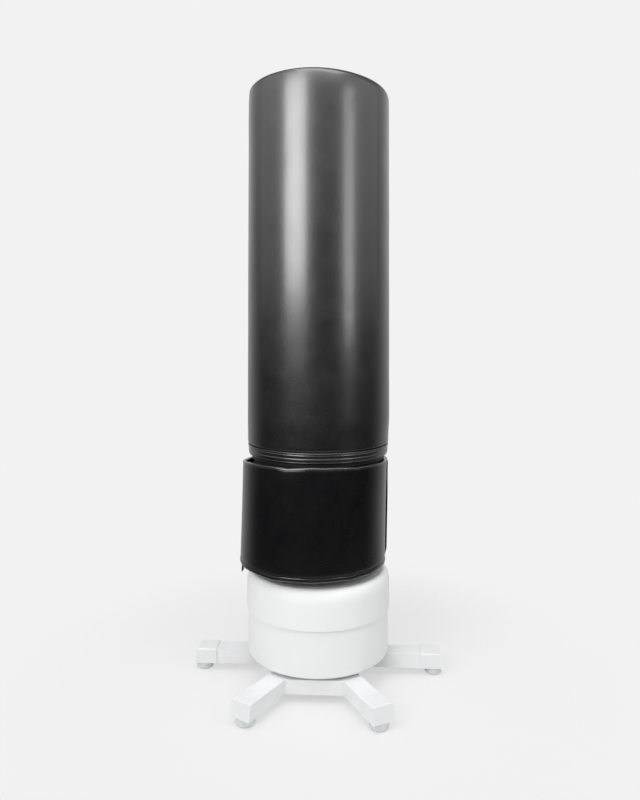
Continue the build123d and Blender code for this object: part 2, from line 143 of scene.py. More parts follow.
@dataclass(frozen=True)
class Surface:
    """A material while its nodes are added: the tree, the shader, and the place that patterns read."""

    tree: bpy.types.NodeTree
    shader: bpy.types.Node
    place: bpy.types.NodeSocket

    def relief(self, *layers: tuple[bpy.types.NodeSocket, float, float]) -> None:
        """Chains bump nodes into the shader's normal.

        Args:
            *layers: Height pattern, strength and height in millimetres of each layer.
        """
        normal = None
        for height, strength, depth_mm in layers:
            inputs = {"Height": height, "Strength": strength, "Distance": depth_mm * MM}
            if normal is not None:
                inputs["Normal"] = normal
            normal = add(self.tree, "ShaderNodeBump", inputs).outputs[0]
        self.tree.links.new(normal, self.shader.inputs["Normal"])


@dataclass(frozen=True)
class Finish:
    """What every finish has: a name, two colours, a roughness and its spread, and how it reflects."""

    name: str
    colour: str
    second: str
    roughness: float
    spread: float = 0.05
    metallic: float = 0.0
    specular: float = 0.5

    @cache
    def make(self) -> bpy.types.Material:
        """Makes the material at the first call.

        Returns:
            The material, the same one at each call.
        """
        material = bpy.data.materials.new(self.name)
        material.use_nodes = True
        tree = material.node_tree
        shader = tree.nodes["Principled BSDF"]
        shader.inputs["Metallic"].default_value = self.metallic
        shader.inputs["Specular IOR Level"].default_value = self.specular
        surface = Surface(tree, shader, add(tree, "ShaderNodeTexCoord").outputs["Object"])
        self.blend(surface, self.dress(surface))
        material.diffuse_color = linear(self.colour)
        return material

    def dress(self, surface: Surface) -> bpy.types.NodeSocket:
        """Adds the relief of the finish; each kind has its own.

        Args:
            surface: The material's nodes.

        Returns:
            The pattern, from 0 to 1, by which the two colours are mixed.
        """
        raise NotImplementedError

    def blend(self, surface: Surface, factor: bpy.types.NodeSocket) -> None:
        """Mixes the two colours, and varies the roughness, by one factor.

        Args:
            surface: The material's nodes.
            factor: A pattern from 0 to 1.
        """
        tree, shader = surface.tree, surface.shader
        # the colour pair of a Mix node are its sockets 6 and 7, and its result is output 2
        colours = {"Factor": factor, 6: linear(self.colour), 7: linear(self.second)}
        mixed = add(tree, "ShaderNodeMix", colours, data_type="RGBA")
        ends = {"To Min": self.roughness - self.spread, "To Max": self.roughness + self.spread}
        rough = add(tree, "ShaderNodeMapRange", {"Value": factor, **ends})
        tree.links.new(mixed.outputs[2], shader.inputs["Base Color"])
        tree.links.new(rough.outputs[0], shader.inputs["Roughness"])


@dataclass(frozen=True)
class GrainedVinyl(Finish):
    """Coated fabric whose soft top layer was embossed with a fine leather grain and calendered."""

    grain_mm: float = 1.3
    cloud_mm: float = 70.0
    grain_strength: float = 0.25
    coat: float = 0.0
    coat_roughness: float = 0.2
    crease_grains: float = 3.6
    pull: float = 2.4
    patches: tuple[float, float] = (0.6, 1.4)

    def dress(self, surface: Surface) -> bpy.types.NodeSocket:
        """Pebbled grain, slow changes of gloss, and faint rubbed patches.

        Args:
            surface: The material's nodes.

        Returns:
            The rubbed patches.
        """
        tree, place = surface.tree, surface.place
        surface.shader.inputs["Coat Weight"].default_value = self.coat
        surface.shader.inputs["Coat Roughness"].default_value = self.coat_roughness
        pebble = add(tree, "ShaderNodeTexVoronoi", {"Vector": place, "Scale": per_metre(self.grain_mm)})
        # calendering pulls the creases out sideways
        pulled = add(tree, "ShaderNodeMapping", {"Vector": place, "Scale": (1.0, 1.0, self.pull)}).outputs[0]
        crease_scale = per_metre(self.grain_mm * self.crease_grains)
        inputs = {"Vector": pulled, "Scale": crease_scale, "Detail": 3.0, "Roughness": 0.6}
        crease = add(tree, "ShaderNodeTexNoise", inputs).outputs[0]
        inputs = {"Vector": place, "Scale": per_metre(self.cloud_mm), "Detail": 5.0, "Roughness": 0.55}
        cloud = add(tree, "ShaderNodeTexNoise", inputs).outputs[0]
        both = add(tree, "ShaderNodeMath", {0: crease, 1: cloud}, operation="ADD").outputs[0]
        grain = (pebble.outputs[0], self.grain_strength, 0.2)
        surface.relief((cloud, 0.2, 1.2), (crease, self.grain_strength, 0.36), grain)
        low_end, high_end = self.patches
        inputs = {"Value": both, "From Min": low_end, "From Max": high_end}
        return add(tree, "ShaderNodeMapRange", inputs).outputs[0]


@dataclass(frozen=True)
class WovenTape(Finish):
    """Narrow woven tape or webbing: ribs across it, a plain weave between them."""

    rib_mm: float = 1.6
    fuzz_mm: float = 4.0

    def dress(self, surface: Surface) -> bpy.types.NodeSocket:
        """Two crossed sets of threads in the piece's own cut coordinates, and a little fuzz.

        Args:
            surface: The material's nodes.

        Returns:
            The fuzz.
        """
        tree = surface.tree
        cut = add(tree, "ShaderNodeUVMap", uv_map="cut").outputs[0]
        inputs = {"Vector": cut, "Scale": bands_per_metre(self.rib_mm), "Distortion": 0.4}
        warp = add(tree, "ShaderNodeTexWave", inputs, bands_direction="X").outputs["Fac"]
        weft = add(tree, "ShaderNodeTexWave", inputs, bands_direction="Y").outputs["Fac"]
        woven = add(tree, "ShaderNodeMath", {0: warp, 1: weft}, operation="MULTIPLY").outputs[0]
        inputs = {"Vector": surface.place, "Scale": per_metre(self.fuzz_mm), "Detail": 4.0}
        fuzz = add(tree, "ShaderNodeTexNoise", inputs).outputs[0]
        surface.relief((fuzz, 0.2, 0.3), (woven, 0.7, 0.35))
        return fuzz


@dataclass(frozen=True)
class MouldedPlastic(Finish):
    """Plastic from a spark-eroded or sand-blasted mould: a fine even texture and faint flow marks."""

    texture_mm: float = 0.9
    flow_mm: float = 90.0
    dust_level_mm: float = 0.0
    dust: float = 0.8

    def dress(self, surface: Surface) -> bpy.types.NodeSocket:
        """Fine mould texture, flow marks, and where it stands near the floor a little dust.

        Args:
            surface: The material's nodes.

        Returns:
            The flow marks, and the dust over them.
        """
        tree, place = surface.tree, surface.place
        inputs = {"Vector": place, "Scale": per_metre(self.flow_mm), "Detail": 3.0}
        flow = add(tree, "ShaderNodeTexNoise", inputs).outputs[0]
        inputs = {"Vector": place, "Scale": per_metre(self.texture_mm), "Detail": 2.0}
        fine = add(tree, "ShaderNodeTexNoise", inputs).outputs[0]
        surface.relief((flow, 0.08, 1.0), (fine, 0.3, 0.08))
        if not self.dust_level_mm:
            return flow
        height = add(tree, "ShaderNodeSeparateXYZ", {0: place}).outputs[2]
        inputs = {"Value": height, "From Max": self.dust_level_mm * MM, "To Min": self.dust, "To Max": 0.0}
        lying = add(tree, "ShaderNodeMapRange", inputs).outputs[0]
        return add(tree, "ShaderNodeMath", {0: flow, 1: lying}, operation="MAXIMUM").outputs[0]


@dataclass(frozen=True)
class PowderCoat(Finish):
    """Steel with a baked powder coat: the even dimples of orange peel under a half-gloss skin."""

    peel_mm: float = 2.2
    film_mm: float = 55.0

    def dress(self, surface: Surface) -> bpy.types.NodeSocket:
        """Orange peel, and slow changes of film thickness.

        Args:
            surface: The material's nodes.

        Returns:
            The film's thickness.
        """
        inputs = {"Vector": surface.place, "Scale": per_metre(self.peel_mm), "Detail": 1.5}
        surface.relief((add(surface.tree, "ShaderNodeTexNoise", inputs).outputs[0], 0.25, 0.2))
        inputs = {"Vector": surface.place, "Scale": per_metre(self.film_mm), "Detail": 4.0}
        return add(surface.tree, "ShaderNodeTexNoise", inputs).outputs[0]


@dataclass(frozen=True)
class BareSteel(Finish):
    """Plated or oiled steel: drawing lines along it and small stains."""

    line_mm: float = 0.8
    drawn: float = 0.12
    stain_mm: float = 14.0

    def dress(self, surface: Surface) -> bpy.types.NodeSocket:
        """Fine lines in the direction of drawing, and stains.

        Args:
            surface: The material's nodes.

        Returns:
            The stains.
        """
        tree, place = surface.tree, surface.place
        long = add(tree, "ShaderNodeMapping", {"Vector": place, "Scale": (1.0, 1.0, self.drawn)}).outputs[0]
        inputs = {"Vector": long, "Scale": per_metre(self.line_mm), "Detail": 3.0}
        surface.relief((add(tree, "ShaderNodeTexNoise", inputs).outputs[0], 0.2, 0.05))
        inputs = {"Vector": place, "Scale": per_metre(self.stain_mm), "Detail": 5.0}
        return add(tree, "ShaderNodeTexNoise", inputs).outputs[0]


@dataclass(frozen=True)
class MouldedRubber(Finish):
    """Cured rubber: matt, faintly mottled, with bloom on it."""

    mottle_mm: float = 6.0
    fine_mm: float = 0.8

    def dress(self, surface: Surface) -> bpy.types.NodeSocket:
        """Mottle and a dry fine texture.

        Args:
            surface: The material's nodes.

        Returns:
            The mottle.
        """
        inputs = {"Vector": surface.place, "Scale": per_metre(self.fine_mm), "Detail": 2.0}
        surface.relief((add(surface.tree, "ShaderNodeTexNoise", inputs).outputs[0], 0.35, 0.12))
        inputs = {"Vector": surface.place, "Scale": per_metre(self.mottle_mm), "Detail": 5.0}
        return add(surface.tree, "ShaderNodeTexNoise", inputs).outputs[0]


@dataclass(frozen=True)
class CellFoam(Finish):
    """Cut closed-cell foam: open cells on its cut faces."""

    cell_mm: float = 1.8
    dense_mm: float = 25.0

    def dress(self, surface: Surface) -> bpy.types.NodeSocket:
        """Cells and uneven density.

        Args:
            surface: The material's nodes.

        Returns:
            The density.
        """
        tree, place = surface.tree, surface.place
        cell = add(tree, "ShaderNodeTexVoronoi", {"Vector": place, "Scale": per_metre(self.cell_mm)})
        inputs = {"Vector": place, "Scale": per_metre(self.dense_mm), "Detail": 4.0}
        dense = add(tree, "ShaderNodeTexNoise", inputs).outputs[0]
        surface.relief((dense, 0.2, 1.0), (cell.outputs[0], 0.5, 0.4))
        return dense


@dataclass(frozen=True)
class PressedBoard(Finish):
    """Plywood: thin turned layers that show at the edge, and long grain on the face."""

    layer_mm: float = 1.6
    grain_mm: float = 2.5
    grown: float = 0.06

    def dress(self, surface: Surface) -> bpy.types.NodeSocket:
        """Layers by height and stretched grain.

        Args:
            surface: The material's nodes.

        Returns:
            The grain in its layers.
        """
        tree, place = surface.tree, surface.place
        long = add(tree, "ShaderNodeMapping", {"Vector": place, "Scale": (self.grown, 1.0, 1.0)}).outputs[0]
        inputs = {"Vector": long, "Scale": per_metre(self.grain_mm), "Detail": 5.0}
        grain = add(tree, "ShaderNodeTexNoise", inputs).outputs[0]
        inputs = {"Vector": place, "Scale": bands_per_metre(self.layer_mm), "Distortion": 0.3}
        layer = add(tree, "ShaderNodeTexWave", inputs, bands_direction="Z").outputs["Fac"]
        surface.relief((grain, 0.3, 0.2))
        return add(tree, "ShaderNodeMath", {0: grain, 1: layer}, operation="MULTIPLY").outputs[0]


@dataclass(frozen=True)
class LooseGrains(Finish):
    """Dry sand: grains of several shades."""

    grain_mm: float = 1.5

    def dress(self, surface: Surface) -> bpy.types.NodeSocket:
        """Grains with a shade each.

        Args:
            surface: The material's nodes.

        Returns:
            The grains' shades.
        """
        inputs = {"Vector": surface.place, "Scale": per_metre(self.grain_mm)}
        grain = add(surface.tree, "ShaderNodeTexVoronoi", inputs)
        surface.relief((grain.outputs[0], 0.8, 0.6))
        return add(surface.tree, "ShaderNodeSeparateColor", {0: grain.outputs["Color"]}).outputs[0]


# Polyurethane-coated polyester, embossed and calendered: black with a satin sheen and broad soft lights
BAG_VINYL = GrainedVinyl(
    "bag_satin_pu_vinyl",
    "#060608",
    "#141416",
    roughness=0.35,
    specular=0.8,
    grain_mm=2.6,
    cloud_mm=60.0,
    grain_strength=0.5,
    coat=0.5,
)
# Glossier PVC sheet of the wrap: nearly black, with a tighter reflection
WRAP_VINYL = GrainedVinyl(
    "wrap_gloss_pvc",
    "#070709",
    "#111113",
    roughness=0.29,
    spread=0.03,
    grain_mm=2.6,
    cloud_mm=60.0,
    grain_strength=0.3,
    coat=0.3,
    coat_roughness=0.16,
)
# The same sheet folded narrow as binding and piping, pulled smoother; its lighter colour than the sheet is
# painted sheen, for the light that the narrow folds catch
BINDING_VINYL = GrainedVinyl(
    "folded_pvc_binding",
    "#0E0E10",
    "#161618",
    roughness=0.3,
    specular=0.8,
    grain_mm=2.0,
    cloud_mm=18.0,
    coat=0.5,
    coat_roughness=0.15,
)
# Bonded polyester sewing thread: satin black, slightly lighter than what it sews
THREAD = WovenTape("bonded_polyester_thread", "#1E1E20", "#2C2C2E", 0.5, rib_mm=0.9)
# Polyester webbing, ribbed and matt
WEBBING = WovenTape("woven_polyester_webbing", "#141416", "#222224", 0.7, 0.06, specular=0.4, rib_mm=2.2)
# Knitted loop pile and moulded hook tape: a dull felt-like black
LOOP_TAPE = WovenTape("hook_and_loop_tape", "#161616", "#262626", 0.9, specular=0.2, rib_mm=2.0)
# Rotationally moulded polyethylene, shown faded: soft, nearly white and half matt
DRUM_PE = MouldedPlastic(
    "rotomoulded_polyethylene", "#E8EAE9", "#E2E4E3", 0.42, 0.06, specular=0.4, texture_mm=1.2, flow_mm=120.0
)
# Injection-moulded polypropylene of the leg caps and filler cap
CAP_PP = MouldedPlastic(
    "moulded_polypropylene",
    "#E6E8E8",
    "#DCDFDF",
    0.4,
    specular=0.45,
    texture_mm=0.8,
    flow_mm=40.0,
    dust_level_mm=30.0,
)
# Powder-coated tube and sheet of the star
POWDER = PowderCoat("powder_coated_steel", "#E8EAEA", "#E0E3E3", 0.38, 0.06)
# Moulded grey-white rubber feet, a little darker than what stands on them
FOOT_RUBBER = MouldedRubber("moulded_foot_rubber", "#D9DCDC", "#CDD1D1", 0.7, specular=0.3)
# Black natural rubber of the centre damper
DAMPER_RUBBER = MouldedRubber("cured_natural_rubber", "#1B1B1B", "#2A2A29", 0.75, specular=0.3, mottle_mm=9.0)
# Oil-hardened spring wire, blue-black
SPRING_WIRE = BareSteel("oil_hardened_spring_wire", "#5A5C60", "#3C3E42", 0.38, 0.08, metallic=1.0)
# Zinc-plated bolts and nuts
ZINC = BareSteel("zinc_plated_steel", "#C6C8C6", "#A9ABA8", 0.32, 0.08, metallic=1.0)
# Closed-cell EVA foam, black
EVA_FOAM = CellFoam("closed_cell_eva_foam", "#0F0F10", "#171718", 0.85, 0.04, specular=0.25)
# Plywood disc faced with black phenolic film, which hides its layers but for a faint banding
FACED_PLY = PressedBoard("film_faced_plywood", "#0E0E0E", "#191817", 0.55, 0.06, specular=0.4)
# Washed ballast sand
SAND = LooseGrains("washed_ballast_sand", "#C2A97F", "#8F7851", 0.9, 0.04, specular=0.2)


# ---------------------------------------------------------------- modelling


def deselect_all() -> None:
    """Leaves edit mode and selects nothing."""
    if bpy.context.object and bpy.context.object.mode != "OBJECT":
        bpy.ops.object.mode_set(mode="OBJECT")
    bpy.ops.object.select_all(action="DESELECT")


def pick(piece: bpy.types.Object) -> None:
    """Selects one piece alone and makes it the active one.

    Args:
        piece: The piece.
    """
    deselect_all()
    piece.select_set(True)
    bpy.context.view_layer.objects.active = piece


@contextmanager
def editing(piece: bpy.types.Object, select: str = "SELECT") -> Iterator[bpy.types.Mesh]:
    """Edit mode on one piece.

    Args:
        piece: The piece to edit.
        select: "SELECT" or "DESELECT" for all its mesh at the start.

    Yields:
        The piece's mesh.
    """
    pick(piece)
    bpy.ops.object.mode_set(mode="EDIT")
    bpy.ops.mesh.select_all(action=select)
    yield piece.data
    bpy.ops.object.mode_set(mode="OBJECT")


def turned(
    name: str, profile: Profile, centre: tuple[float, float] = (0, 0), segments: int = 128
) -> bpy.types.Object:
    """A piece turned round an upright axis: a circle is extruded and resized from point to point.

    Args:
        name: The piece's name.
        profile: Radius and level in millimetres of each point. Where the last is the first, the section
            closes; a radius of 0 closes it at the axis.
        centre: The axis, in metres.
        segments: Points round it.

    Returns:
        The piece, with its place in its mesh and its faces pointing outwards.
    """
    deselect_all()
    at = Vector((*centre, 0))
    start_radius, level = profile[0]
    bpy.ops.mesh.primitive_circle_add(
        vertices=segments, radius=start_radius * MM, location=at + Vector((0, 0, level * MM))
    )
    piece = bpy.context.object
    piece.name = name
    bpy.ops.object.transform_apply(location=True)
    with editing(piece):
        for (radius, level), (next_radius, next_level) in zip(profile, profile[1:]):
            bpy.ops.mesh.extrude_region_move(
                TRANSFORM_OT_translate={"value": (0, 0, (next_level - level) * MM)}
            )
            share = next_radius / radius
            if share != 1:
                pivot = at + Vector((0, 0, next_level * MM))
                bpy.ops.transform.resize(value=(share, share, 1), center_override=pivot)
        bpy.ops.mesh.select_all(action="SELECT")
        bpy.ops.mesh.remove_doubles(threshold=1e-5)
        bpy.ops.mesh.normals_make_consistent(inside=False)
    return piece


def arc(
    centre_radius: float, centre_level: float, size: float, start: float, end: float, steps: int
) -> Profile:
    """Points of a round part of a profile.

    Args:
        centre_radius: The arc's centre, from the axis, in millimetres.
        centre_level: The arc's centre, above the floor, in millimetres.
        size: The arc's own radius in millimetres.
        start: Angle of its first point in degrees, 0 outwards and 90 upwards.
        end: Angle of its last point.
        steps: Spans between them.

    Returns:
        The points.
    """
    angles = [radians(start + (end - start) * i / steps) for i in range(steps + 1)]
    return [(centre_radius + size * cos(a), centre_level + size * sin(a)) for a in angles]


def steps_between(start: float, end: float, count: int) -> list[float]:
    """count - 1 values evenly between start and end, without them."""
    return [start + (end - start) * i / count for i in range(1, count)]


def smooth(x: float) -> float:
    """A soft step: 0 up to 0, 1 from 1 on."""
    x = min(1.0, max(0.0, x))
    return x * x * (3 - 2 * x)


def reshape(piece: bpy.types.Object, move: Callable[[Vector], Vector]) -> None:
    """Moves each point of a piece.

    Args:
        piece: The piece.
        move: Gives a point's new place from its old one, in metres.
    """
    for vertex in piece.data.vertices:
        vertex.co = move(vertex.co.copy())
    piece.data.update()


def modify(piece: bpy.types.Object, kind: str, **settings: object) -> None:
    """Adds a modifier with its settings, and applies it.

    Args:
        piece: The piece.
        kind: The modifier's type, such as "SOLIDIFY".
        **settings: Its properties.
    """
    pick(piece)
    modifier = piece.modifiers.new(kind.lower(), kind)
    for key, value in settings.items():
        setattr(modifier, key, value)
    bpy.ops.object.modifier_apply(modifier=modifier.name)


def face_out(piece: bpy.types.Object) -> None:
    """Turns all faces of a closed piece outwards."""
    with editing(piece):
        bpy.ops.mesh.normals_make_consistent(inside=False)


def thicken(piece: bpy.types.Object, thickness: float, edge: float, steps: int = 2, offset: int = -1) -> None:
    """Gives an open sheet its thickness and its softened edges.

    Args:
        piece: The sheet.
        thickness: How thick it becomes, in millimetres.
        edge: The width of its softened edges, in millimetres.
        steps: Spans across such an edge.
        offset: -1 where the sheet is the outer face, 0 where it is the middle.
    """
    modify(piece, "SOLIDIFY", thickness=thickness * MM, offset=offset)
    modify(piece, "BEVEL", width=edge * MM, segments=steps, limit_method="ANGLE")
    face_out(piece)


def copied(piece: bpy.types.Object, matrix: Matrix, name: str) -> bpy.types.Object:
    """Copies a piece with a mesh of its own.

    Args:
        piece: The piece.
        matrix: Where the copy goes; it goes into the mesh.
        name: The copy's name.

    Returns:
        The copy.
    """
    twin = piece.copy()
    twin.data = piece.data.copy()
    twin.name = name
    twin.data.transform(matrix)
    bpy.context.collection.objects.link(twin)
    return twin


def joined(parts: list[bpy.types.Object], name: str) -> bpy.types.Object:
    """Joins parts into one piece.

    Args:
        parts: The parts.
        name: The piece's name.

    Returns:
        The piece.
    """
    deselect_all()
    for part in parts:
        part.select_set(True)
    bpy.context.view_layer.objects.active = parts[0]
    bpy.ops.object.join()
    parts[0].name = name
    return parts[0]


def lay_out(piece: bpy.types.Object, centre: tuple[float, float] = (0, 0)) -> None:
    """Gives a curved piece the coordinates of its flat cut: metres round the axis, and metres up.

    Args:
        piece: The piece.
        centre: The axis that it goes round, in metres.
    """
    mesh = piece.data
    cut = mesh.uv_layers.get("cut") or mesh.uv_layers.new(name="cut")
    for polygon in mesh.polygons:
        middle = atan2(polygon.center.y - centre[1], polygon.center.x - centre[0])
        for loop in polygon.loop_indices:
            point = mesh.vertices[mesh.loops[loop].vertex_index].co
            x, y = point.x - centre[0], point.y - centre[1]
            turn = (atan2(y, x) - middle + pi) % (2 * pi) - pi
            cut.data[loop].uv = ((middle + turn) * hypot(x, y), point.z)


def hand_over(
    piece: bpy.types.Object,
    finish: Finish,
    body: Body | None,
    replaced: tuple[str, ...] = (),
    slot: Slot | None = None,
    crease: float = 40,
) -> bpy.types.Object:
    """Finishes a piece: shading, material and its body, and hides the CAD nodes that it stands for.

    Args:
        piece: The piece.
        finish: Its material.
        body: The body that it rides on, or None, which leaves it unattached.
        replaced: The CAD nodes that it stands for.
        slot: The record's material slot; not used.
        crease: Edges sharper than this many degrees stay sharp.

    Returns:
        The piece.
    """
    pick(piece)
    bpy.ops.object.transform_apply(location=True, rotation=True, scale=True)
    bpy.ops.object.shade_smooth_by_angle(angle=radians(crease))
    piece.data.materials.clear()
    piece.data.materials.append(finish.make())
    if body:
        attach(piece, body.value)
    if replaced:
        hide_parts(*replaced)
    LOG.info("%s: %d faces", piece.name, len(piece.data.polygons))
    return piece


def low(node: str) -> Vector:
    """The lowest corner of a CAD node's box, in millimetres."""
    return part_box(node)[0] / MM


def high(node: str) -> Vector:
    """The highest corner of a CAD node's box, in millimetres."""
    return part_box(node)[1] / MM


def waves(angle: float, parts: Waves) -> float:
    """A closed wave round the axis.

    Args:
        angle: Where, in radians.
        parts: The number of waves, the height and the phase of each part.

    Returns:
        The sum of the parts.
    """
    return sum(height * cos(count * angle + phase) for count, height, phase in parts)


@dataclass(frozen=True)
class Swelling:
    """A cloth simulation that lets a sewn cover swell over its filling, up to a cap at each point."""

    pressure: float = 9.0
    frames: int = 20
    tension: float = 3.0
    bending: float = 2.0
    quality: int = 4
    slide: float = 0.3

    def run(self, piece: bpy.types.Object, cap: Callable[[Vector], float]) -> None:
        """Simulates the piece and applies the result.

        Args:
            piece: The closed cover, slightly smaller than it will be.
            cap: Gives from a point's place how far it may move, in metres; 0 pins it.
        """
        start = [vertex.co.copy() for vertex in piece.data.vertices]
        normals = [vertex.normal.copy() for vertex in piece.data.vertices]
        limits = [cap(place) for place in start]
        group = piece.vertex_groups.new(name="pinned")
        group.add([i for i, limit in enumerate(limits) if limit <= 0], 1.0, "REPLACE")
        pick(piece)
        cloth = piece.modifiers.new("swelling", "CLOTH")
        settings = cloth.settings
        settings.quality = self.quality
        settings.tension_stiffness = settings.compression_stiffness = self.tension
        settings.shear_stiffness = self.tension
        settings.bending_stiffness = self.bending
        settings.use_pressure = True
        settings.uniform_pressure_force = self.pressure
        settings.effector_weights.gravity = 0
        settings.vertex_group_mass = group.name
        cloth.collision_settings.use_collision = False
        scene = bpy.context.scene
        for number in range(1, self.frames + 1):
            scene.frame_set(number)
        bpy.ops.object.modifier_apply(modifier=cloth.name)
        scene.frame_set(1)
        for vertex, place, normal, limit in zip(piece.data.vertices, start, normals, limits):
            moved = vertex.co - place
            out = normal * moved.dot(normal)
            moved = (moved - out) * self.slide + (out if moved.dot(normal) > 0 else Vector())
            vertex.co = place + (moved.normalized() * limit if moved.length > limit else moved)
        piece.vertex_groups.clear()
        piece.data.update()


def facing(along: Vector, out: Vector) -> Matrix:
    """The turn that brings X along one direction and Z out along another."""
    return Matrix((along, out.cross(along), out)).transposed().to_4x4()


@dataclass
class Stitching:
    """Rows of lock stitch. Each stitch is a small thread pad, modelled once. Sizes in millimetres."""

    length: float = 4.6
    pitch: float = 6.2
    thickness: float = 0.9
    flatness: float = 0.8
    straight: float = 0.35
    sunk: float = 0.25

    def one(self) -> bpy.types.Object:
        """Models one stitch, whose two ends sink into the sheet.

        Returns:
            The stitch along X, lying on the XY plane.
        """
        deselect_all()
        bpy.ops.mesh.primitive_uv_sphere_add(segments=6, ring_count=4, radius=0.5 * MM)
        stitch = bpy.context.object
        bpy.ops.transform.resize(value=(self.length, self.thickness, self.thickness * self.flatness))
        bpy.ops.object.transform_apply(scale=True)
        with editing(stitch, "DESELECT") as mesh:
            bpy.ops.object.mode_set(mode="OBJECT")
            for vertex in mesh.vertices:
                vertex.select = abs(vertex.co.x) > self.straight * self.length * MM
            bpy.ops.object.mode_set(mode="EDIT")
            bpy.ops.transform.translate(value=(0, 0, -self.sunk * self.thickness * MM))
        return stitch

    def row(self, name: str, places: list[Matrix]) -> bpy.types.Object:
        """One row of stitches.

        Args:
            name: The row's name.
            places: Each stitch's place: X along the seam and Z out of the sheet.

        Returns:
            All the stitches, joined.
        """
        pattern = self.one()
        parts = [copied(pattern, matrix, f"{name}_{i}") for i, matrix in enumerate(places)]
        bpy.data.objects.remove(pattern)
        row = joined(parts, name)
        lay_out(row)
        return row

    def round_axis(
        self, radius: float, level: Callable[[float], float], centre: tuple[float, float] = (0, 0)
    ) -> list[Matrix]:
        """Places of a row that goes round an upright axis.

        Args:
            radius: From the axis, in millimetres.
            level: Gives the height in millimetres from the angle in radians.
            centre: The axis, in metres.

        Returns:
            The stitches' places.
        """
        count = int(radians(360) * radius / self.pitch)
        found = []
        for i in range(count):
            a = radians(360 * (i + 0.5) / count)
            along, out = Vector((-sin(a), cos(a), 0)), Vector((cos(a), sin(a), 0))
            at = Vector((*centre, 0)) + out * radius * MM + Vector((0, 0, level(a) * MM))
            found.append(Matrix.Translation(at) @ facing(along, out))
        return found

    def upright(
        self, radius: float, angle: float, bottom: float, top: float, centre: tuple[float, float] = (0, 0)
    ) -> list[Matrix]:
        """Places of a row that runs up at one angle.

        Args:
            radius: From the axis, in millimetres.
            angle: Where it runs, in degrees.
            bottom: Its lower end, in millimetres.
            top: Its upper end.
            centre: The axis, in metres.

        Returns:
            The stitches' places.
        """
        a = radians(angle)
        along, out = Vector((0, 0, 1)), Vector((cos(a), sin(a), 0))
        base = Vector((*centre, 0)) + out * radius * MM
        heights = [bottom + (i + 0.5) * self.pitch for i in range(int((top - bottom) / self.pitch))]
        return [Matrix.Translation(base + along * height * MM) @ facing(along, out) for height in heights]


# ---------------------------------------------------------------- the bag


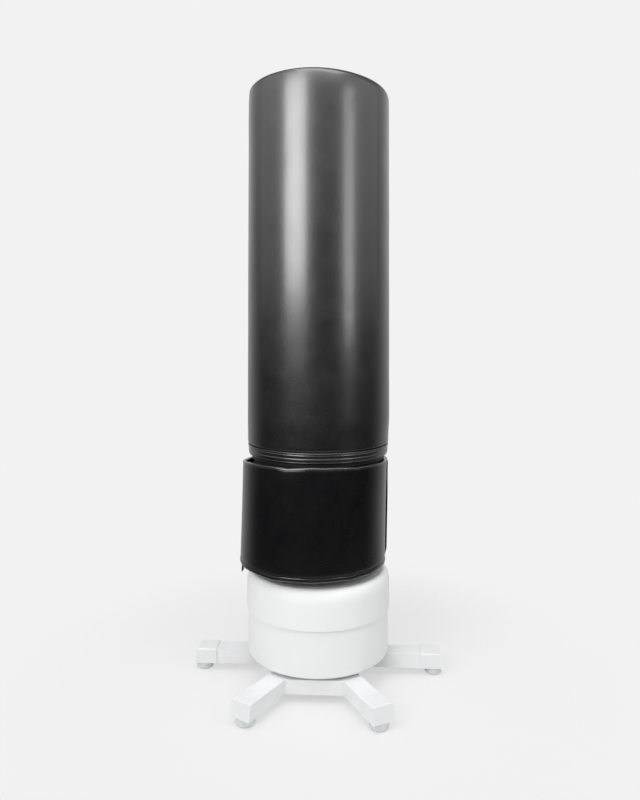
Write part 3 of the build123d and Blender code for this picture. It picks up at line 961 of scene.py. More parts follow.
@dataclass
class BagBody:
    """The padded cylinder and its foot trim. Sizes in millimetres."""

    segments: int = 160
    side_rings: int = 60
    core_hole: float = 60.0
    under_radius: float = 190.5
    under_gap: float = 2.4
    rim_height: float = 3.4
    inner_foot: tuple[tuple[float, float], ...] = ((192.6, 1.0), (193.0, 4.0), (194.2, 6.0))
    shown_foot: tuple[tuple[float, float], ...] = ((194.6, -6.0), (194.8, -3.0), (196.2, 0.2))
    foot_round: float = 7.0
    foot_bend: float = 8.0
    lower_welt_radius: float = 196.2
    foot_sway: Waves = ((3, 0.35, 0.4), (7, 0.3, 2.0), (12, 0.18, 1.1))
    shoulder: float = 10.0
    soft_shoulder: float = 28.0
    soft_side: float = 20.0
    soft_drop: float = 2.5
    top_rings: tuple[float, ...] = (0.94, 0.86, 0.75, 0.62, 0.48, 0.34, 0.2, 0.08, 0.0)
    dome: float = 4.5
    crown: float = 4.0
    slackness: float = 2.0
    low_fullness: float = 1.6
    high_fullness: float = 0.3
    low_aside: float = 0.9
    high_aside: float = 2.0
    swell: float = 2.2
    unevenness: float = 0.3
    lumps_per_metre: tuple[float, float] = (9.0, 23.0)
    taper: float = 5.0
    taper_height: float = 60.0
    seam_angle: float = 90.0
    seam_width: float = 22.0
    seam_height: float = 1.5

    def __post_init__(self) -> None:
        """Reads the places from the frame."""
        self.radius = high("bag_cover").x
        self.top = high("bag_cover").z
        self.foot = low("bag_cover").z
        self.under = low("bottom_panel").z

    def build(self) -> None:
        """Makes and dresses every piece of the bag."""
        skin = self.make_skin()
        hand_over(skin, BAG_VINYL, Body.BAG, ("bag_cover", "foam_body", "top_pad"), Slot.VINYL)
        self.make_welt("bag_piping", "foot_welt", high("bag_piping").x, 14, 1.0)
        self.make_band()
        self.make_welt("low_piping", "lower_welt", self.lower_welt_radius, 12, 0.3)
        self.make_under_panel()
        self.make_back_seam()

    def make_skin(self) -> bpy.types.Object:
        """The closed cover over its foam, from the panel under it to the top.

        Returns:
            The skin, swollen and finely divided.
        """
        inner = low("low_piping").z + 1
        floor = self.under + self.under_gap
        profile: Profile = [(self.core_hole, self.under + self.rim_height), (self.core_hole, floor)]
        profile.append((self.under_radius, floor))
        profile += [(radius, inner + up) for radius, up in self.inner_foot]
        profile += [(radius, self.foot + up) for radius, up in self.shown_foot]
        bend = self.foot + self.foot_bend
        profile += arc(self.radius - self.foot_round, bend, self.foot_round, -50, 0, 4)
        shoulder_start = self.top - self.shoulder
        flat = self.radius - self.shoulder
        profile += [(self.radius, z) for z in steps_between(bend, shoulder_start, self.side_rings)]
        profile += arc(flat, shoulder_start, self.shoulder, 0, 90, 8)
        profile += [(flat * share, self.top) for share in self.top_rings]
        piece = turned("bag_skin", profile, segments=self.segments)
        with editing(piece, "DESELECT"):
            bpy.ops.mesh.select_non_manifold()
            bpy.ops.mesh.edge_face_add()
        reshape(piece, self.soften)
        reshape(piece, self.slack)
        Swelling().run(piece, self.cap)
        modify(piece, "SUBSURF", levels=1, render_levels=1)
        reshape(piece, self.stand)
        return piece

    def softness(self, angle: float) -> float:
        """How soft the shoulder is at an angle: 0 on the firm side, 1 on the soft one."""
        return smooth(0.5 + 0.75 * cos(angle - radians(self.soft_side)))

    def padding(self, point: Vector) -> float:
        """How full the foam stands under the cover; that fades out at the back seam.

        Args:
            point: A place on the cover, in metres.

        Returns:
            About 1.
        """
        around = atan2(point.y, point.x) - radians(self.seam_angle)
        away = smooth((1 - cos(around)) / 0.12)
        coarse, fine = self.lumps_per_metre
        uneven = noise.noise(point * coarse) + 0.5 * noise.noise(point * fine)
        return 1 + self.unevenness * uneven * away

    def risen(self, point: Vector) -> float:
        """0 where the cover is held at its foot, 1 a hand's breadth above it."""
        return smooth((point.z / MM - self.foot - 12) / 70)

    def loose(self, point: Vector) -> float:
        """1 on the side, where the cover is free to swell, and 0 at its foot and its shoulder."""
        return self.risen(point) * (1 - smooth((point.z / MM - self.top + 140) / 90))

    def slack(self, point: Vector) -> Vector:
        """The place of a point before the cover swells: its side is a little smaller."""
        share = 1 - self.slackness * self.loose(point) / self.radius
        return Vector((point.x * share, point.y * share, point.z))

    def stand(self, point: Vector) -> Vector:
        """The filled bag stands a little to one side of its axis, and is fuller low down.

        Args:
            point: A place on the bag.

        Returns:
            Its place on the bag as it stands.
        """
        up = (point.z / MM - self.foot) / (self.top - self.foot)
        fuller = self.low_fullness + (self.high_fullness - self.low_fullness) * up
        share = 1 + fuller * self.risen(point) / self.radius
        aside = (self.low_aside + (self.high_aside - self.low_aside) * up) * self.risen(point) * MM
        return Vector((point.x * share + aside, point.y * share, point.z))

    def cap(self, point: Vector) -> float:
        """How far a point of the cover may swell: most on the top, nothing at the foot.

        Args:
            point: A place on the cover.

        Returns:
            The furthest move, in metres.
        """
        if point.z / MM < self.foot + 10:
            return 0.0
        on_top = smooth((point.z / MM - (self.top - 30)) / 25)
        on_top *= 1 - smooth((hypot(point.x, point.y) - 0.1) / 0.06)
        return (0.1 + self.swell * self.loose(point) * self.padding(point) + self.crown * on_top) * MM

    def soften(self, point: Vector) -> Vector:
        """Gives the shoulder its uneven rounding, and the top its low dome.

        Args:
            point: A place on the evenly rounded cover.

        Returns:
            Its new place.
        """
        x, y, z = point / MM
        r, angle = hypot(x, y), atan2(y, x)
        soft = self.softness(angle)
        size = self.shoulder + (self.soft_shoulder - self.shoulder) * soft
        edge = self.top - self.shoulder
        foot_of_bend = self.top - 4 * self.soft_shoulder
        if z < foot_of_bend:
            return point
        if r < self.radius - self.shoulder - 0.01:
            share = r / (self.radius - self.shoulder)
            r = share * (self.radius - size)
            z = self.top + self.dome * (1 - share**2)
        elif z > edge - 0.01:
            bend = atan2(z - edge, r - (self.radius - self.shoulder))
            r = self.radius - size + size * cos(bend)
            z = self.top - size + size * sin(bend)
        else:
            share = (z - foot_of_bend) / (edge - foot_of_bend)
            z = foot_of_bend + share * (self.top - size - foot_of_bend)
        start = self.top - self.taper_height
        taken = min(1.0, max(0.0, (z - start) / self.taper_height)) ** 2
        r -= self.taper * taken * (0.35 + 0.65 * max(0.0, -sin(angle))) * smooth(2 * r / self.radius)
        z -= self.soft_drop * soft * smooth((z - foot_of_bend) / 60) * smooth(r / self.radius)
        return Vector((r * cos(angle), r * sin(angle), z)) * MM

    def swayed(self, point: Vector, amount: float) -> Vector:
        """Where a point of the foot trim comes to lie, as that rises and sinks a little round the bag."""
        return point + Vector((0, 0, amount * waves(atan2(point.y, point.x), self.foot_sway) * MM))

    def make_welt(self, node: str, name: str, out: float, steps: int, amount: float) -> None:
        """A piping cord in the place of its CAD node.

        Args:
            node: The CAD node.
            name: The piece's name.
            out: Its outer radius in millimetres.
            steps: Points round its section.
            amount: How much of the foot's sway it takes.
        """
        bottom, top = low(node).z, high(node).z
        size = (top - bottom) / 2
        section = arc(out - size, (bottom + top) / 2, size, 0, 360, steps)
        welt = turned(name, section, segments=self.segments)
        reshape(welt, lambda point: self.swayed(point, amount))
        hand_over(welt, BINDING_VINYL, Body.BAG, (node,), Slot.VINYL)

    def make_band(self) -> None:
        """The band under the welt, drawn in along its row of stitches."""
        bottom, top, out = low("bag_band").z, high("bag_band").z, high("bag_band").x
        seam, amount = 8.8, 0.8
        section = [
            (out - 2.6, bottom),
            (out - 1.4, bottom + 0.4),
            (out - 0.3, bottom + 2.6),
            (out - 0.1, bottom + 6),
            (out - 0.6, bottom + 8.2),
            (out - 1.2, bottom + seam),
            (out - 0.6, bottom + 9.4),
            (out, bottom + 11.6),
            (out - 0.1, top - 3),
            (out - 0.6, top - 0.9),
            (out - 1.6, top),
            (out - 2.6, top - 0.3),
            (out - 2.7, (bottom + top) / 2),
            (out - 2.6, bottom),
        ]
        band = turned("foot_band", section, segments=self.segments)
        reshape(band, lambda point: self.swayed(point, amount))
        hand_over(band, BINDING_VINYL, Body.BAG, ("bag_band",), Slot.VINYL, 60)
        stitches = Stitching()
        places = stitches.round_axis(out - 1.0, lambda a: bottom + seam + amount * waves(a, self.foot_sway))
        hand_over(stitches.row("band_stitches", places), THREAD, Body.BAG)

    def make_under_panel(self) -> None:
        """The panel under the bag, with a stitched groove round the core."""
        bottom, top, out = low("bottom_panel").z, high("bottom_panel").z, high("bottom_panel").x
        core = high("core_plug").x + 0.3
        section = [(core, bottom), (core + 12, bottom), (core + 12.5, bottom + 0.4), (core + 13, bottom)]
        section += [(r, bottom) for r in steps_between(core + 13, out - 6, 6)]
        section += [(out - 6, bottom), (out - 1, bottom + 0.3), (out, bottom + 1), (out - 0.4, top)]
        section += [(core, top), (core, bottom)]
        panel = turned("under_panel", section, segments=96)
        hand_over(panel, BINDING_VINYL, Body.BAG, ("bottom_panel",), Slot.VINYL, 60)

    def make_back_seam(self) -> None:
        """The cover's upright lap seam at the back, with two rows of stitches."""
        half = self.seam_width / 2 / self.radius
        bottom, top = self.foot + 10, self.top - self.soft_shoulder - 14
        deselect_all()
        bpy.ops.mesh.primitive_plane_add(size=1)
        lap = bpy.context.object
        lap.name = "back_seam_lap"
        with editing(lap):
            bpy.ops.mesh.subdivide(number_cuts=13)

        def wrap_round(point: Vector) -> Vector:
            """Lays the flat lap round the bag, with its two edges down on the cover.

            Args:
                point: A point of the lap, from -0.5 to 0.5 across it and up it.

            Returns:
                Its place on the bag.
            """
            angle = radians(self.seam_angle) + 2 * half * point.x
            edge = 1 - smooth((abs(point.x) - 0.42) / 0.08)
            r = self.radius - 0.4 + self.seam_height * edge * (0.75 + 0.25 * cos(6 * pi * point.x))
            z = bottom + (point.y + 0.5) * (top - bottom)
            return Vector((r * cos(angle), r * sin(angle), z)) * MM

        reshape(lap, wrap_round)
        reshape(lap, self.stand)
        modify(lap, "SOLIDIFY", thickness=0.6 * MM, offset=-1)
        modify(lap, "SUBSURF", levels=1, render_levels=1)
        face_out(lap)
        hand_over(lap, BAG_VINYL, Body.BAG, (), Slot.VINYL, 60)
        stitches = Stitching()
        for side, offset in (("left", -0.3), ("right", 0.3)):
            angle = self.seam_angle + offset * 2 * half * 180 / pi
            places = stitches.upright(self.radius + 0.75, angle, bottom + 4, top - 4)
            row = stitches.row(f"seam_stitches_{side}", places)
            reshape(row, self.stand)
            hand_over(row, THREAD, Body.BAG)


# ---------------------------------------------------------------- the wrap


@dataclass
class Wrap:
    """The padded wrap round the spring bay, its bound edges, overlap flap and strap. In millimetres."""

    segments: int = 192
    thickness: float = 7.7
    edge: float = 4.0
    binding: float = 11.5
    top_fold: float = 7.0
    flare: float = 2.6
    lean: float = 5.5
    front_rise: float = 4.5
    left_drop: float = 3.0
    back_drop: float = 11.0
    right_drop: float = 4.0
    roll: float = 3.4
    roll_height: float = 8.0
    side_waves: Waves = ((4, 0.5, 0.3), (7, 0.35, 1.9), (11, 0.2, 4.0))
    top_waves: Waves = ((5, 0.5, 0.9), (13, 0.35, 2.2), (21, 0.2, 0.5))
    hem_waves: Waves = ((6, 0.35, 2.6), (17, 0.3, 1.0))
    kinks: tuple[float, ...] = (-106.8, -53.2)
    kink_depth: float = 1.8
    kink_width: float = 9.0
    hem_kinks: tuple[float, ...] = (-150.0, -116.0, -87.0, -58.0, -39.0, -12.0, 70.0, 128.0)
    hem_kink_depth: float = 1.7
    hem_kink_width: float = 14.0
    guard_thickness: float = 12.0
    guard_edge: float = 2.5
    flap_lift: float = 3.4

    def __post_init__(self) -> None:
        """Reads the places from the frame."""
        lo, hi = low("wrap_panel"), high("wrap_panel")
        self.axis = ((lo.x + hi.x) / 2 * MM, 0.0)
        self.outer = (hi.x - lo.x) / 2
        self.inner = self.outer - self.thickness
        self.bottom = low("wrap_hem_binding").z
        self.top = high("wrap_top_binding").z

    def build(self) -> None:
        """Makes and dresses every piece of the wrap."""
        guard = self.make_guard()
        bindings = [self.make_top_binding(), self.make_hem_binding()]
        rows = self.make_rows()
        sleeve = self.make_sleeve()
        hooks = self.make_strip("hook_strip", "hook_tape", LOOP_TAPE, Slot.WEBBING)
        seam = self.make_strip("flap_seam", "flap_seam_tape", WRAP_VINYL, Slot.WRAP)
        strap = self.make_strap()
        self.make_flap()

    def sway(self, point: Vector) -> Vector:
        """The loose hang of the wrap: it leans to the left, sits higher in front, and both edges waver.

        Args:
            point: A place on the straight wrap.

        Returns:
            Its place as the wrap hangs.
        """
        x, y, z = point / MM
        angle = atan2(y, x - self.axis[0] / MM)
        up = (z - self.bottom) / (self.top - self.bottom)
        out = self.flare * (0.45 - up) * smooth(0.5 - 0.9 * cos(angle))
        out += waves(angle, self.side_waves) * smooth(abs(2 * up - 1))
        # left of the front the top fold is rolled back, and shows its face to the light
        along = angle * 180 / pi
        rolled = smooth((along + 120) / 10) * (1 - 0.6 * smooth((along + 102) / 14))
        rolled *= 1 - smooth((along + 58) / 14)
        out -= self.roll * rolled * max(0.0, (point.z / MM - self.top) / self.roll_height + 1)
        x += out * cos(angle) + self.lean * (up - 0.5)
        y += out * sin(angle)
        upper = smooth((up - 0.45) / 0.5)
        front, left, back, right = (max(0.0, cos(angle - radians(a))) for a in (-90, 180, 145, 0))
        z += upper * (self.front_rise * front - self.left_drop * left**2)
        z -= upper * (self.back_drop * back**2 + self.right_drop * right**3)
        if up > 0.8:
            share = smooth((up - 0.8) / 0.15)
            z += waves(angle, self.top_waves) * share - 0.6
            z -= self.kink_depth * share * self.kinked(angle, self.kinks, self.kink_width)
        if up < 0.15:
            share = smooth((0.15 - up) / 0.1)
            z += (waves(angle, self.hem_waves) + 1.2) * share
            z -= self.hem_kink_depth * share * self.kinked(angle, self.hem_kinks, self.hem_kink_width)
        return Vector((x, y, z)) * MM

    def kinked(self, angle: float, kinks: tuple[float, ...], width: float) -> float:
        """How far an edge dips at an angle: 1 at a kink, and fading beside it.

        Args:
            angle: Where, in radians.
            kinks: The kinks' angles in degrees.
            width: Half a kink's width, in millimetres along the edge.

        Returns:
            The sum over the kinks.
        """
        nears = [(angle - radians(kink)) * self.outer / width for kink in kinks]
        return sum(1 / (1 + near * near) for near in nears)

    def leaned(self, point: Vector) -> Vector:
        """The lean alone, for what is fastened to the outside of the wrap."""
        up = (point.z / MM - self.bottom) / (self.top - self.bottom)
        return point + Vector((self.lean * (up - 0.5) * MM, 0, 0))

    def proud(self, point: Vector, lift: float) -> Vector:
        """Moves a point away from the wrap's axis.

        Args:
            point: The point.
            lift: How far, in millimetres.

        Returns:
            Its new place.
        """
        x, y = point.x - self.axis[0], point.y - self.axis[1]
        share = 1 + lift * MM / hypot(x, y)
        return Vector((self.axis[0] + x * share, self.axis[1] + y * share, point.z))

    def turned_to(self, angle: float, radius: float, level: float) -> Vector:
        """The place at an angle in degrees round the wrap's axis, a radius and a level."""
        a = radians(angle)
        return Vector((self.axis[0] + radius * cos(a) * MM, radius * sin(a) * MM, level * MM))

    def make_sleeve(self) -> bpy.types.Object:
        """The wrap itself: a closed sleeve of sheet over thin foam.

        Returns:
            The sleeve.
        """
        edge, round_in = self.edge, self.edge - 0.3
        bottom, top = self.bottom + 1.2, self.top - 1.2
        pinch = self.bottom + self.binding + 2
        levels = [bottom + edge, pinch - 4, pinch - 2, pinch, pinch + 2, pinch + 5]
        levels += steps_between(pinch + 5, top - edge, 48)
        profile: Profile = [(self.outer - 0.7 * max(0.0, 1 - abs(z - pinch) / 4), z) for z in levels]
        profile += arc(self.outer - edge, top - edge, edge, 0, 90, 4)
        profile += arc(self.inner + round_in, top - edge, round_in, 90, 180, 4)
        profile += [(self.inner, z) for z in steps_between(top - edge, bottom + edge, 16)]
        profile += arc(self.inner + round_in, bottom + edge, round_in, 180, 270, 4)
        profile += arc(self.outer - edge, bottom + edge, edge, 270, 360, 4)
        sleeve = turned("wrap_sleeve", profile, self.axis, self.segments)
        reshape(sleeve, self.sway)
        return hand_over(sleeve, WRAP_VINYL, Body.BAG, ("wrap_panel", "wrap_lining"), Slot.WRAP)

    def make_top_binding(self) -> bpy.types.Object:
        """The folded tape over the top edge."""
        lip = [(-0.9, 0.0), (-0.55, 0.3), (-0.2, 1.6)]
        return self.make_binding("top", self.top, 1, self.top_fold, lip)

    def make_hem_binding(self) -> bpy.types.Object:
        """The folded tape over the hem, with a bulge above its stitches."""
        lip = [(-1.0, 0.0), (-0.6, 0.7), (-0.35, 2.0), (-0.4, 3.2), (-0.1, 4.4), (0.0, 5.6)]
        return self.make_binding("hem", self.bottom, -1, self.binding, lip)

    def make_binding(self, edge: str, start: float, turn: int, tall: float, lip: Profile) -> bpy.types.Object:
        """A folded tape over one edge, fuller than the sheet that it closes over.

        Args:
            edge: "top" or "hem".
            start: The level of its fold in millimetres.
            turn: 1 where the fold is its highest part, -1 where it is its lowest.
            tall: From the fold to its sewn ends, in millimetres.
            lip: Its outer sewn end: each point's offset from its outer radius, and how far towards the fold.

        Returns:
            The binding.
        """
        outer, inner = self.outer + 0.9, self.inner - 0.9
        half, middle = (outer - inner) / 2, (outer + inner) / 2
        fold = half * 0.8
        end, level = start - turn * tall, start - turn * fold
        profile: Profile = [(outer + aside, end + turn * up) for aside, up in lip]
        for step in range(11):
            a = radians(turn * 180 * step / 10)
            profile.append((middle + half * cos(a), level + fold * sin(a)))
        profile += [(inner, end + turn * 1), (inner + 0.3, end), (inner + 0.85, end + turn * 0.3)]
        profile += [(inner + 1.6, level), (outer - 1.6, level), profile[0]]
        piece = turned(f"{edge}_binding", profile, self.axis, self.segments)
        reshape(piece, self.sway)
        return hand_over(piece, BINDING_VINYL, Body.BAG, (f"wrap_{edge}_binding",), Slot.WRAP, 60)

    def make_rows(self) -> list[bpy.types.Object]:
        """The stitch rows of the two bindings.

        Returns:
            The upper row and the lower one.
        """
        stitches = Stitching()
        rows = []
        for name, level in (
            ("top_edge_stitches", self.top - self.top_fold + 1.0),
            ("hem_binding_stitches", self.bottom + self.binding - 3.0),
        ):
            places = stitches.round_axis(self.outer + 0.35, lambda a, z=level: z, self.axis)
            row = stitches.row(name, places)
            reshape(row, self.sway)
            rows.append(hand_over(row, THREAD, Body.BAG))
        return rows

    def make_guard(self) -> bpy.types.Object:
        """The foam ring inside, which carries the wrap.

        Returns:
            The ring.
        """
        lo, hi = low("guard_ring"), high("guard_ring")
        outer, inner = hi.x, hi.x - self.guard_thickness
        edge = self.guard_edge
        profile: Profile = arc(outer - edge, lo.z + edge, edge, -90, 0, 4)
        profile += [(outer, z) for z in steps_between(lo.z + edge, hi.z - edge, 12)]
        profile += arc(outer - edge, hi.z - edge, edge, 0, 90, 4)
        profile += arc(inner + edge, hi.z - edge, edge, 90, 180, 4)
        profile += [(inner, z) for z in steps_between(hi.z - edge, lo.z + edge, 12)]
        profile += arc(inner + edge, lo.z + edge, edge, 180, 270, 4)
        guard = turned("guard_foam", profile, segments=128)
        hand_over(guard, EVA_FOAM, Body.BAG, ("guard_ring",), Slot.FOAM, 60)
        return guard

    def strip_grid(self, name: str, columns: int, rows: int, shape: Shape) -> bpy.types.Object:
        """A curved strip round the wrap's axis.

        Args:
            name: The piece's name.
            columns: Cuts across it.
            rows: Cuts up it.
            shape: Gives angle in degrees, radius and level from 0 to 1 across and 0 to 1 up.

        Returns:
            An open sheet.
        """
        deselect_all()
        bpy.ops.mesh.primitive_grid_add(x_subdivisions=columns, y_subdivisions=rows, size=1)
        piece = bpy.context.object
        piece.name = name
        reshape(piece, lambda point: self.turned_to(*shape(point.x + 0.5, point.y + 0.5)))
        return piece

    def span(self, node: str) -> tuple[float, float, float, float]:
        """How far a CAD strip reaches round the wrap's axis.

        Args:
            node: The strip's node.

        Returns:
            Its first and last angle in degrees, and its inner and outer radius.
        """
        cx = self.axis[0] / MM
        points = [v.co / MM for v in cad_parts[node].data.vertices]
        angles = [atan2(p.y, p.x - cx) * 180 / pi for p in points]
        radii = [hypot(p.x - cx, p.y) for p in points]
        return min(angles), max(angles), min(radii), max(radii)

    def make_strip(self, node: str, name: str, finish: Finish, slot: Slot) -> bpy.types.Object:
        """A sewn strip in the place of its CAD node.

        Args:
            node: The CAD node.
            name: The piece's name.
            finish: Its material.
            slot: The record's material slot.

        Returns:
            The strip.
        """
        first, last, inner, outer = self.span(node)
        lo, hi = low(node).z, high(node).z
        piece = self.strip_grid(
            name, 8, 40, lambda u, v: (first + (last - first) * u, outer, lo + (hi - lo) * v)
        )
        reshape(piece, self.sway)
        thicken(piece, outer - inner, 0.3)
        lay_out(piece, self.axis)
        return hand_over(piece, finish, Body.BAG, (node,), slot)

    def make_flap(self) -> None:
        """The overlap flap with the loop tape inside it."""
        first, last, inner, outer = self.span("wrap_flap")
        lo, hi = low("wrap_flap").z, high("wrap_flap").z
        tape_first, tape_last, tape_inner, tape_outer = self.span("loop_strip")
        bottom, top = low("loop_strip").z, high("loop_strip").z

        def lift(u: float, v: float) -> float:
            """How far the free end stands off, in millimetres, at u across the flap and v up it."""
            standing = self.flap_lift * (1 - smooth(u / 0.3)) * smooth(v / 0.08)
            return standing * (0.7 + 0.3 * smooth((0.9 - v) / 0.3))

        def flap_shape(u: float, v: float) -> tuple[float, float, float]:
            """The flap's sheet, tucked in at its top.

            Args:
                u: From 0 at its free end to 1 at its seam.
                v: From 0 at its hem to 1 at its top.

            Returns:
                Angle in degrees, radius and level.
            """
            tuck = 4.0 * smooth((v - 0.95) / 0.05) * (1 - u)
            radius, level = outer + lift(u, v) - tuck, lo + (hi - lo) * v - 1.5 * (1 - u) * v
            return first + (last - first) * u, radius, level

        def end_shape(u: float, v: float) -> tuple[float, float, float]:
            """The binding of the flap's free end, as flap_shape gives the flap."""
            angle, radius, level = flap_shape(0.14 * u, 0.004 + 0.992 * v)
            return angle - 0.25 * (1 - u), radius + 0.9, level

        def loop_shape(u: float, v: float) -> tuple[float, float, float]:
            """The loop tape's sheet, which follows the flap, as flap_shape gives the flap."""
            angle = tape_first + (tape_last - tape_first) * u
            return angle, tape_outer + 0.85 * lift(u, v), bottom + (top - bottom) * v

        flap = self.strip_grid("closing_flap", 24, 80, flap_shape)
        thicken(flap, outer - inner, 0.6, steps=3)
        loops = self.strip_grid("loop_tape", 16, 60, loop_shape)
        modify(loops, "SOLIDIFY", thickness=(tape_outer - tape_inner) * MM, offset=-1)
        tape = self.strip_grid("flap_end_binding", 6, 80, end_shape)
        thicken(tape, outer - inner + 1.8, 0.7)
        stitches = Stitching()
        rows = []
        for name, angle in (("flap_edge_stitches", first + 1.9), ("flap_root_stitches", last - 0.9)):
            across = (angle - first) / (last - first)
            places = stitches.upright(outer + 0.9 * (across < 0.2), angle, lo + 26, hi - 30, self.axis)
            row = stitches.row(name, places)
            reshape(row, lambda point, u=across: self.proud(point, lift(u, (point.z / MM - lo) / (hi - lo))))
            rows.append(row)
        start, end = (self.turned_to(angle, outer, (lo + hi) / 2) for angle in (last, last - 6))
        for piece, finish, node, slot in (
            (flap, WRAP_VINYL, ("wrap_flap",), Slot.WRAP),
            (tape, LOOP_TAPE, (), Slot.WEBBING),
            (loops, LOOP_TAPE, ("loop_strip",), Slot.WEBBING),
            (rows[0], THREAD, (), None),
            (rows[1], THREAD, (), None),
        ):
            reshape(piece, self.leaned)
            lay_out(piece, self.axis)
            hand_over(piece, finish, None, node, slot)
            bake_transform(piece)

    def make_strap(self) -> bpy.types.Object:
        """The strap end under the hem, a doubled piece of webbing.

        Returns:
            The strap end.
        """
        lo, hi = low("strap_end"), high("strap_end")
        deselect_all()
        bpy.ops.mesh.primitive_grid_add(x_subdivisions=10, y_subdivisions=14, size=1)
        strap = bpy.context.object
        strap.name = "strap_tab"

        def hang(point: Vector) -> Vector:
            """Hangs the flat strap from the hem, a little twisted and bowed.

            Args:
                point: A point of the flat strap, from -0.5 to 0.5 across it and up it.

            Returns:
                Its place under the hem.
            """
            across, up = point.x, point.y + 0.5
            y = across * (hi.y - lo.y) * (1 - 0.06 * (1 - up))
            x = lo.x + 0.9 - 2.2 * (1 - up) * up + 0.4 * cos(pi * across) - 1.5 * (1 - up) ** 2
            x += 2.4 * across * (1 - up)
            z = lo.z + 0.8 + (hi.z + 2 - lo.z - 0.8) * up + 1.2 * across * (1 - up)
            return Vector((x, y, z)) * MM

        reshape(strap, hang)
        thicken(strap, hi.x - lo.x - 0.4, 0.4, offset=0)
        lay_out(strap, (lo.x * MM + 1.0, 0))
        return hand_over(strap, WEBBING, Body.BAG, ("strap_end",), Slot.WEBBING)


# ---------------------------------------------------------------- springs and damper


@dataclass
class SpringPack:
    """Four coil springs and the rubber damper, each in two halves."""

    springs: int = 4
    turns: int = 6
    wire: float = 4.0
    coil: float = 22.0
    steps: int = 28
    waist_depth: float = 8.0
    flange_height: float = 10.4

    def __post_init__(self) -> None:
        """Reads the places from the frame."""
        self.bottom, self.top = low("centre_damper").z, high("centre_damper").z
        self.middle = (self.bottom + self.top) / 2

    def build(self) -> None:
        """Makes and dresses the springs and the damper."""
        for number in range(1, self.springs + 1):
            self.make_spring(f"spring_{number}")
        for half, start, turn in ((0, self.bottom, 1), (1, self.top, -1)):
            self.make_damper(half, start, turn)

    def make_spring(self, node: str) -> None:
        """Both halves of one spring.

        Args:
            node: The CAD node that it stands for.
        """
        lo, hi = low(node), high(node)
        centre = ((lo.x + hi.x) / 2, (lo.y + hi.y) / 2)
        first, height = lo.z + self.wire, (hi.z - lo.z - 2 * self.wire) / 2
        for half in (0, 1):
            coil = self.make_half(f"{node}_{'upper' if half else 'lower'}", height)
            coil.data.transform(Matrix.Translation(Vector((*centre, first + half * height)) * MM))
            hand_over(coil, SPRING_WIRE, None, (node,), Slot.SPRING)
            self.bend(coil, half)

    def make_half(self, name: str, height: float) -> bpy.types.Object:
        """Half a coil, wound with its first end at the origin's level.

        Args:
            name: Its name.
            height: Its height in millimetres.

        Returns:
            The closed wire.
        """
        deselect_all()
        bpy.ops.mesh.primitive_circle_add(
            vertices=12, radius=self.wire * MM, fill_type="NOTHING", rotation=(pi / 2, 0, 0)
        )
        coil = bpy.context.object
        coil.name = name
        bpy.ops.object.transform_apply(rotation=True)
        coil.data.transform(Matrix.Translation((self.coil * MM, 0, 0)))
        modify(
            coil,
            "SCREW",
            screw_offset=height / (self.turns / 2) * MM,
            iterations=self.turns // 2,
            steps=self.steps,
            render_steps=self.steps,
            axis="Z",
        )
        with editing(coil, "DESELECT"):
            bpy.ops.mesh.select_non_manifold()
            bpy.ops.mesh.fill_holes(sides=0)
        face_out(coil)
        return coil

    def make_damper(self, half: int, start: float, turn: int) -> None:
        """Half of the rubber damper: a flange, and a waist that narrows towards the middle.

        Args:
            half: 0 for the lower half, 1 for the upper one.
            start: The level of its flange's face in millimetres.
            turn: 1 where it goes up from there, -1 where it goes down.
        """
        flange = high("centre_damper").x
        waist, neck = flange - self.waist_depth, flange - 0.6
        profile: Profile = [(0.001, start), (flange - 1.5, start), (flange - 0.4, start + turn * 0.4)]
        profile += [(flange, start + turn * 1.5), (flange, start + turn * 9)]
        profile.append((neck, start + turn * self.flange_height))
        run = self.middle - turn * self.flange_height - start
        for share in (i / 12 for i in range(1, 13)):
            level = start + turn * self.flange_height + run * share
            profile.append((waist + (neck - waist) * (1 - share) ** 2, level))
        profile.append((0.001, self.middle))
        damper = turned(f"damper_{'upper' if half else 'lower'}", profile, segments=64)
        face_out(damper)
        hand_over(damper, DAMPER_RUBBER, None, ("centre_damper",), Slot.RUBBER, 50)
        self.bend(damper, half)

    def bend(self, piece: bpy.types.Object, half: int) -> None:
        """Bakes a half's place into its mesh; the half is not bent or bound to base, springs or bag.

        Args:
            piece: The half.
            half: 0 for a lower half, 1 for an upper one.
        """
        start, end = ((self.bottom, self.middle), (self.middle, self.top))[half]
        below, above = ((Body.BASE, Body.SPRINGS), (Body.SPRINGS, Body.BAG))[half]
        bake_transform(piece)


# ---------------------------------------------------------------- the frame's own solids


@dataclass
class Hardware:
    """The CAD nodes that stay: each gets the finish of the real piece."""

    steel: tuple[str, ...] = ("leg_tube", "leg_web", "hub_plate", "core_tube")
    spring_plates: tuple[str, ...] = ("lower_spring_plate", "upper_spring_plate")
    plastic: tuple[str, ...] = ("end_cap", "fill_cap", "core_plug")
    bolts: tuple[str, ...] = ("foot_bolts", "leg_bolts", "tie_bolts", "core_bolts", "disc_bolts")

    def build(self) -> None:
        """Dresses every CAD node that is still shown; the first finish that its name begins with holds."""
        finishes = {
            POWDER: self.steel + self.spring_plates,
            CAP_PP: self.plastic,
            DRUM_PE: ("drum",),
            ZINC: self.bolts,
            FOOT_RUBBER: ("foot",),
            DAMPER_RUBBER: ("fill_seal",),
            SAND: ("sand",),
            FACED_PLY: ("base_disc",),
        }
        for name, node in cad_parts.items():
            if node.hide_render:
                continue
            finish = next(finish for finish, starts in finishes.items() if name.startswith(starts))
            node.data.materials.clear()
            node.data.materials.append(finish.make())
            LOG.info("%s: %s", name, finish.name)


# ---------------------------------------------------------------- the studio


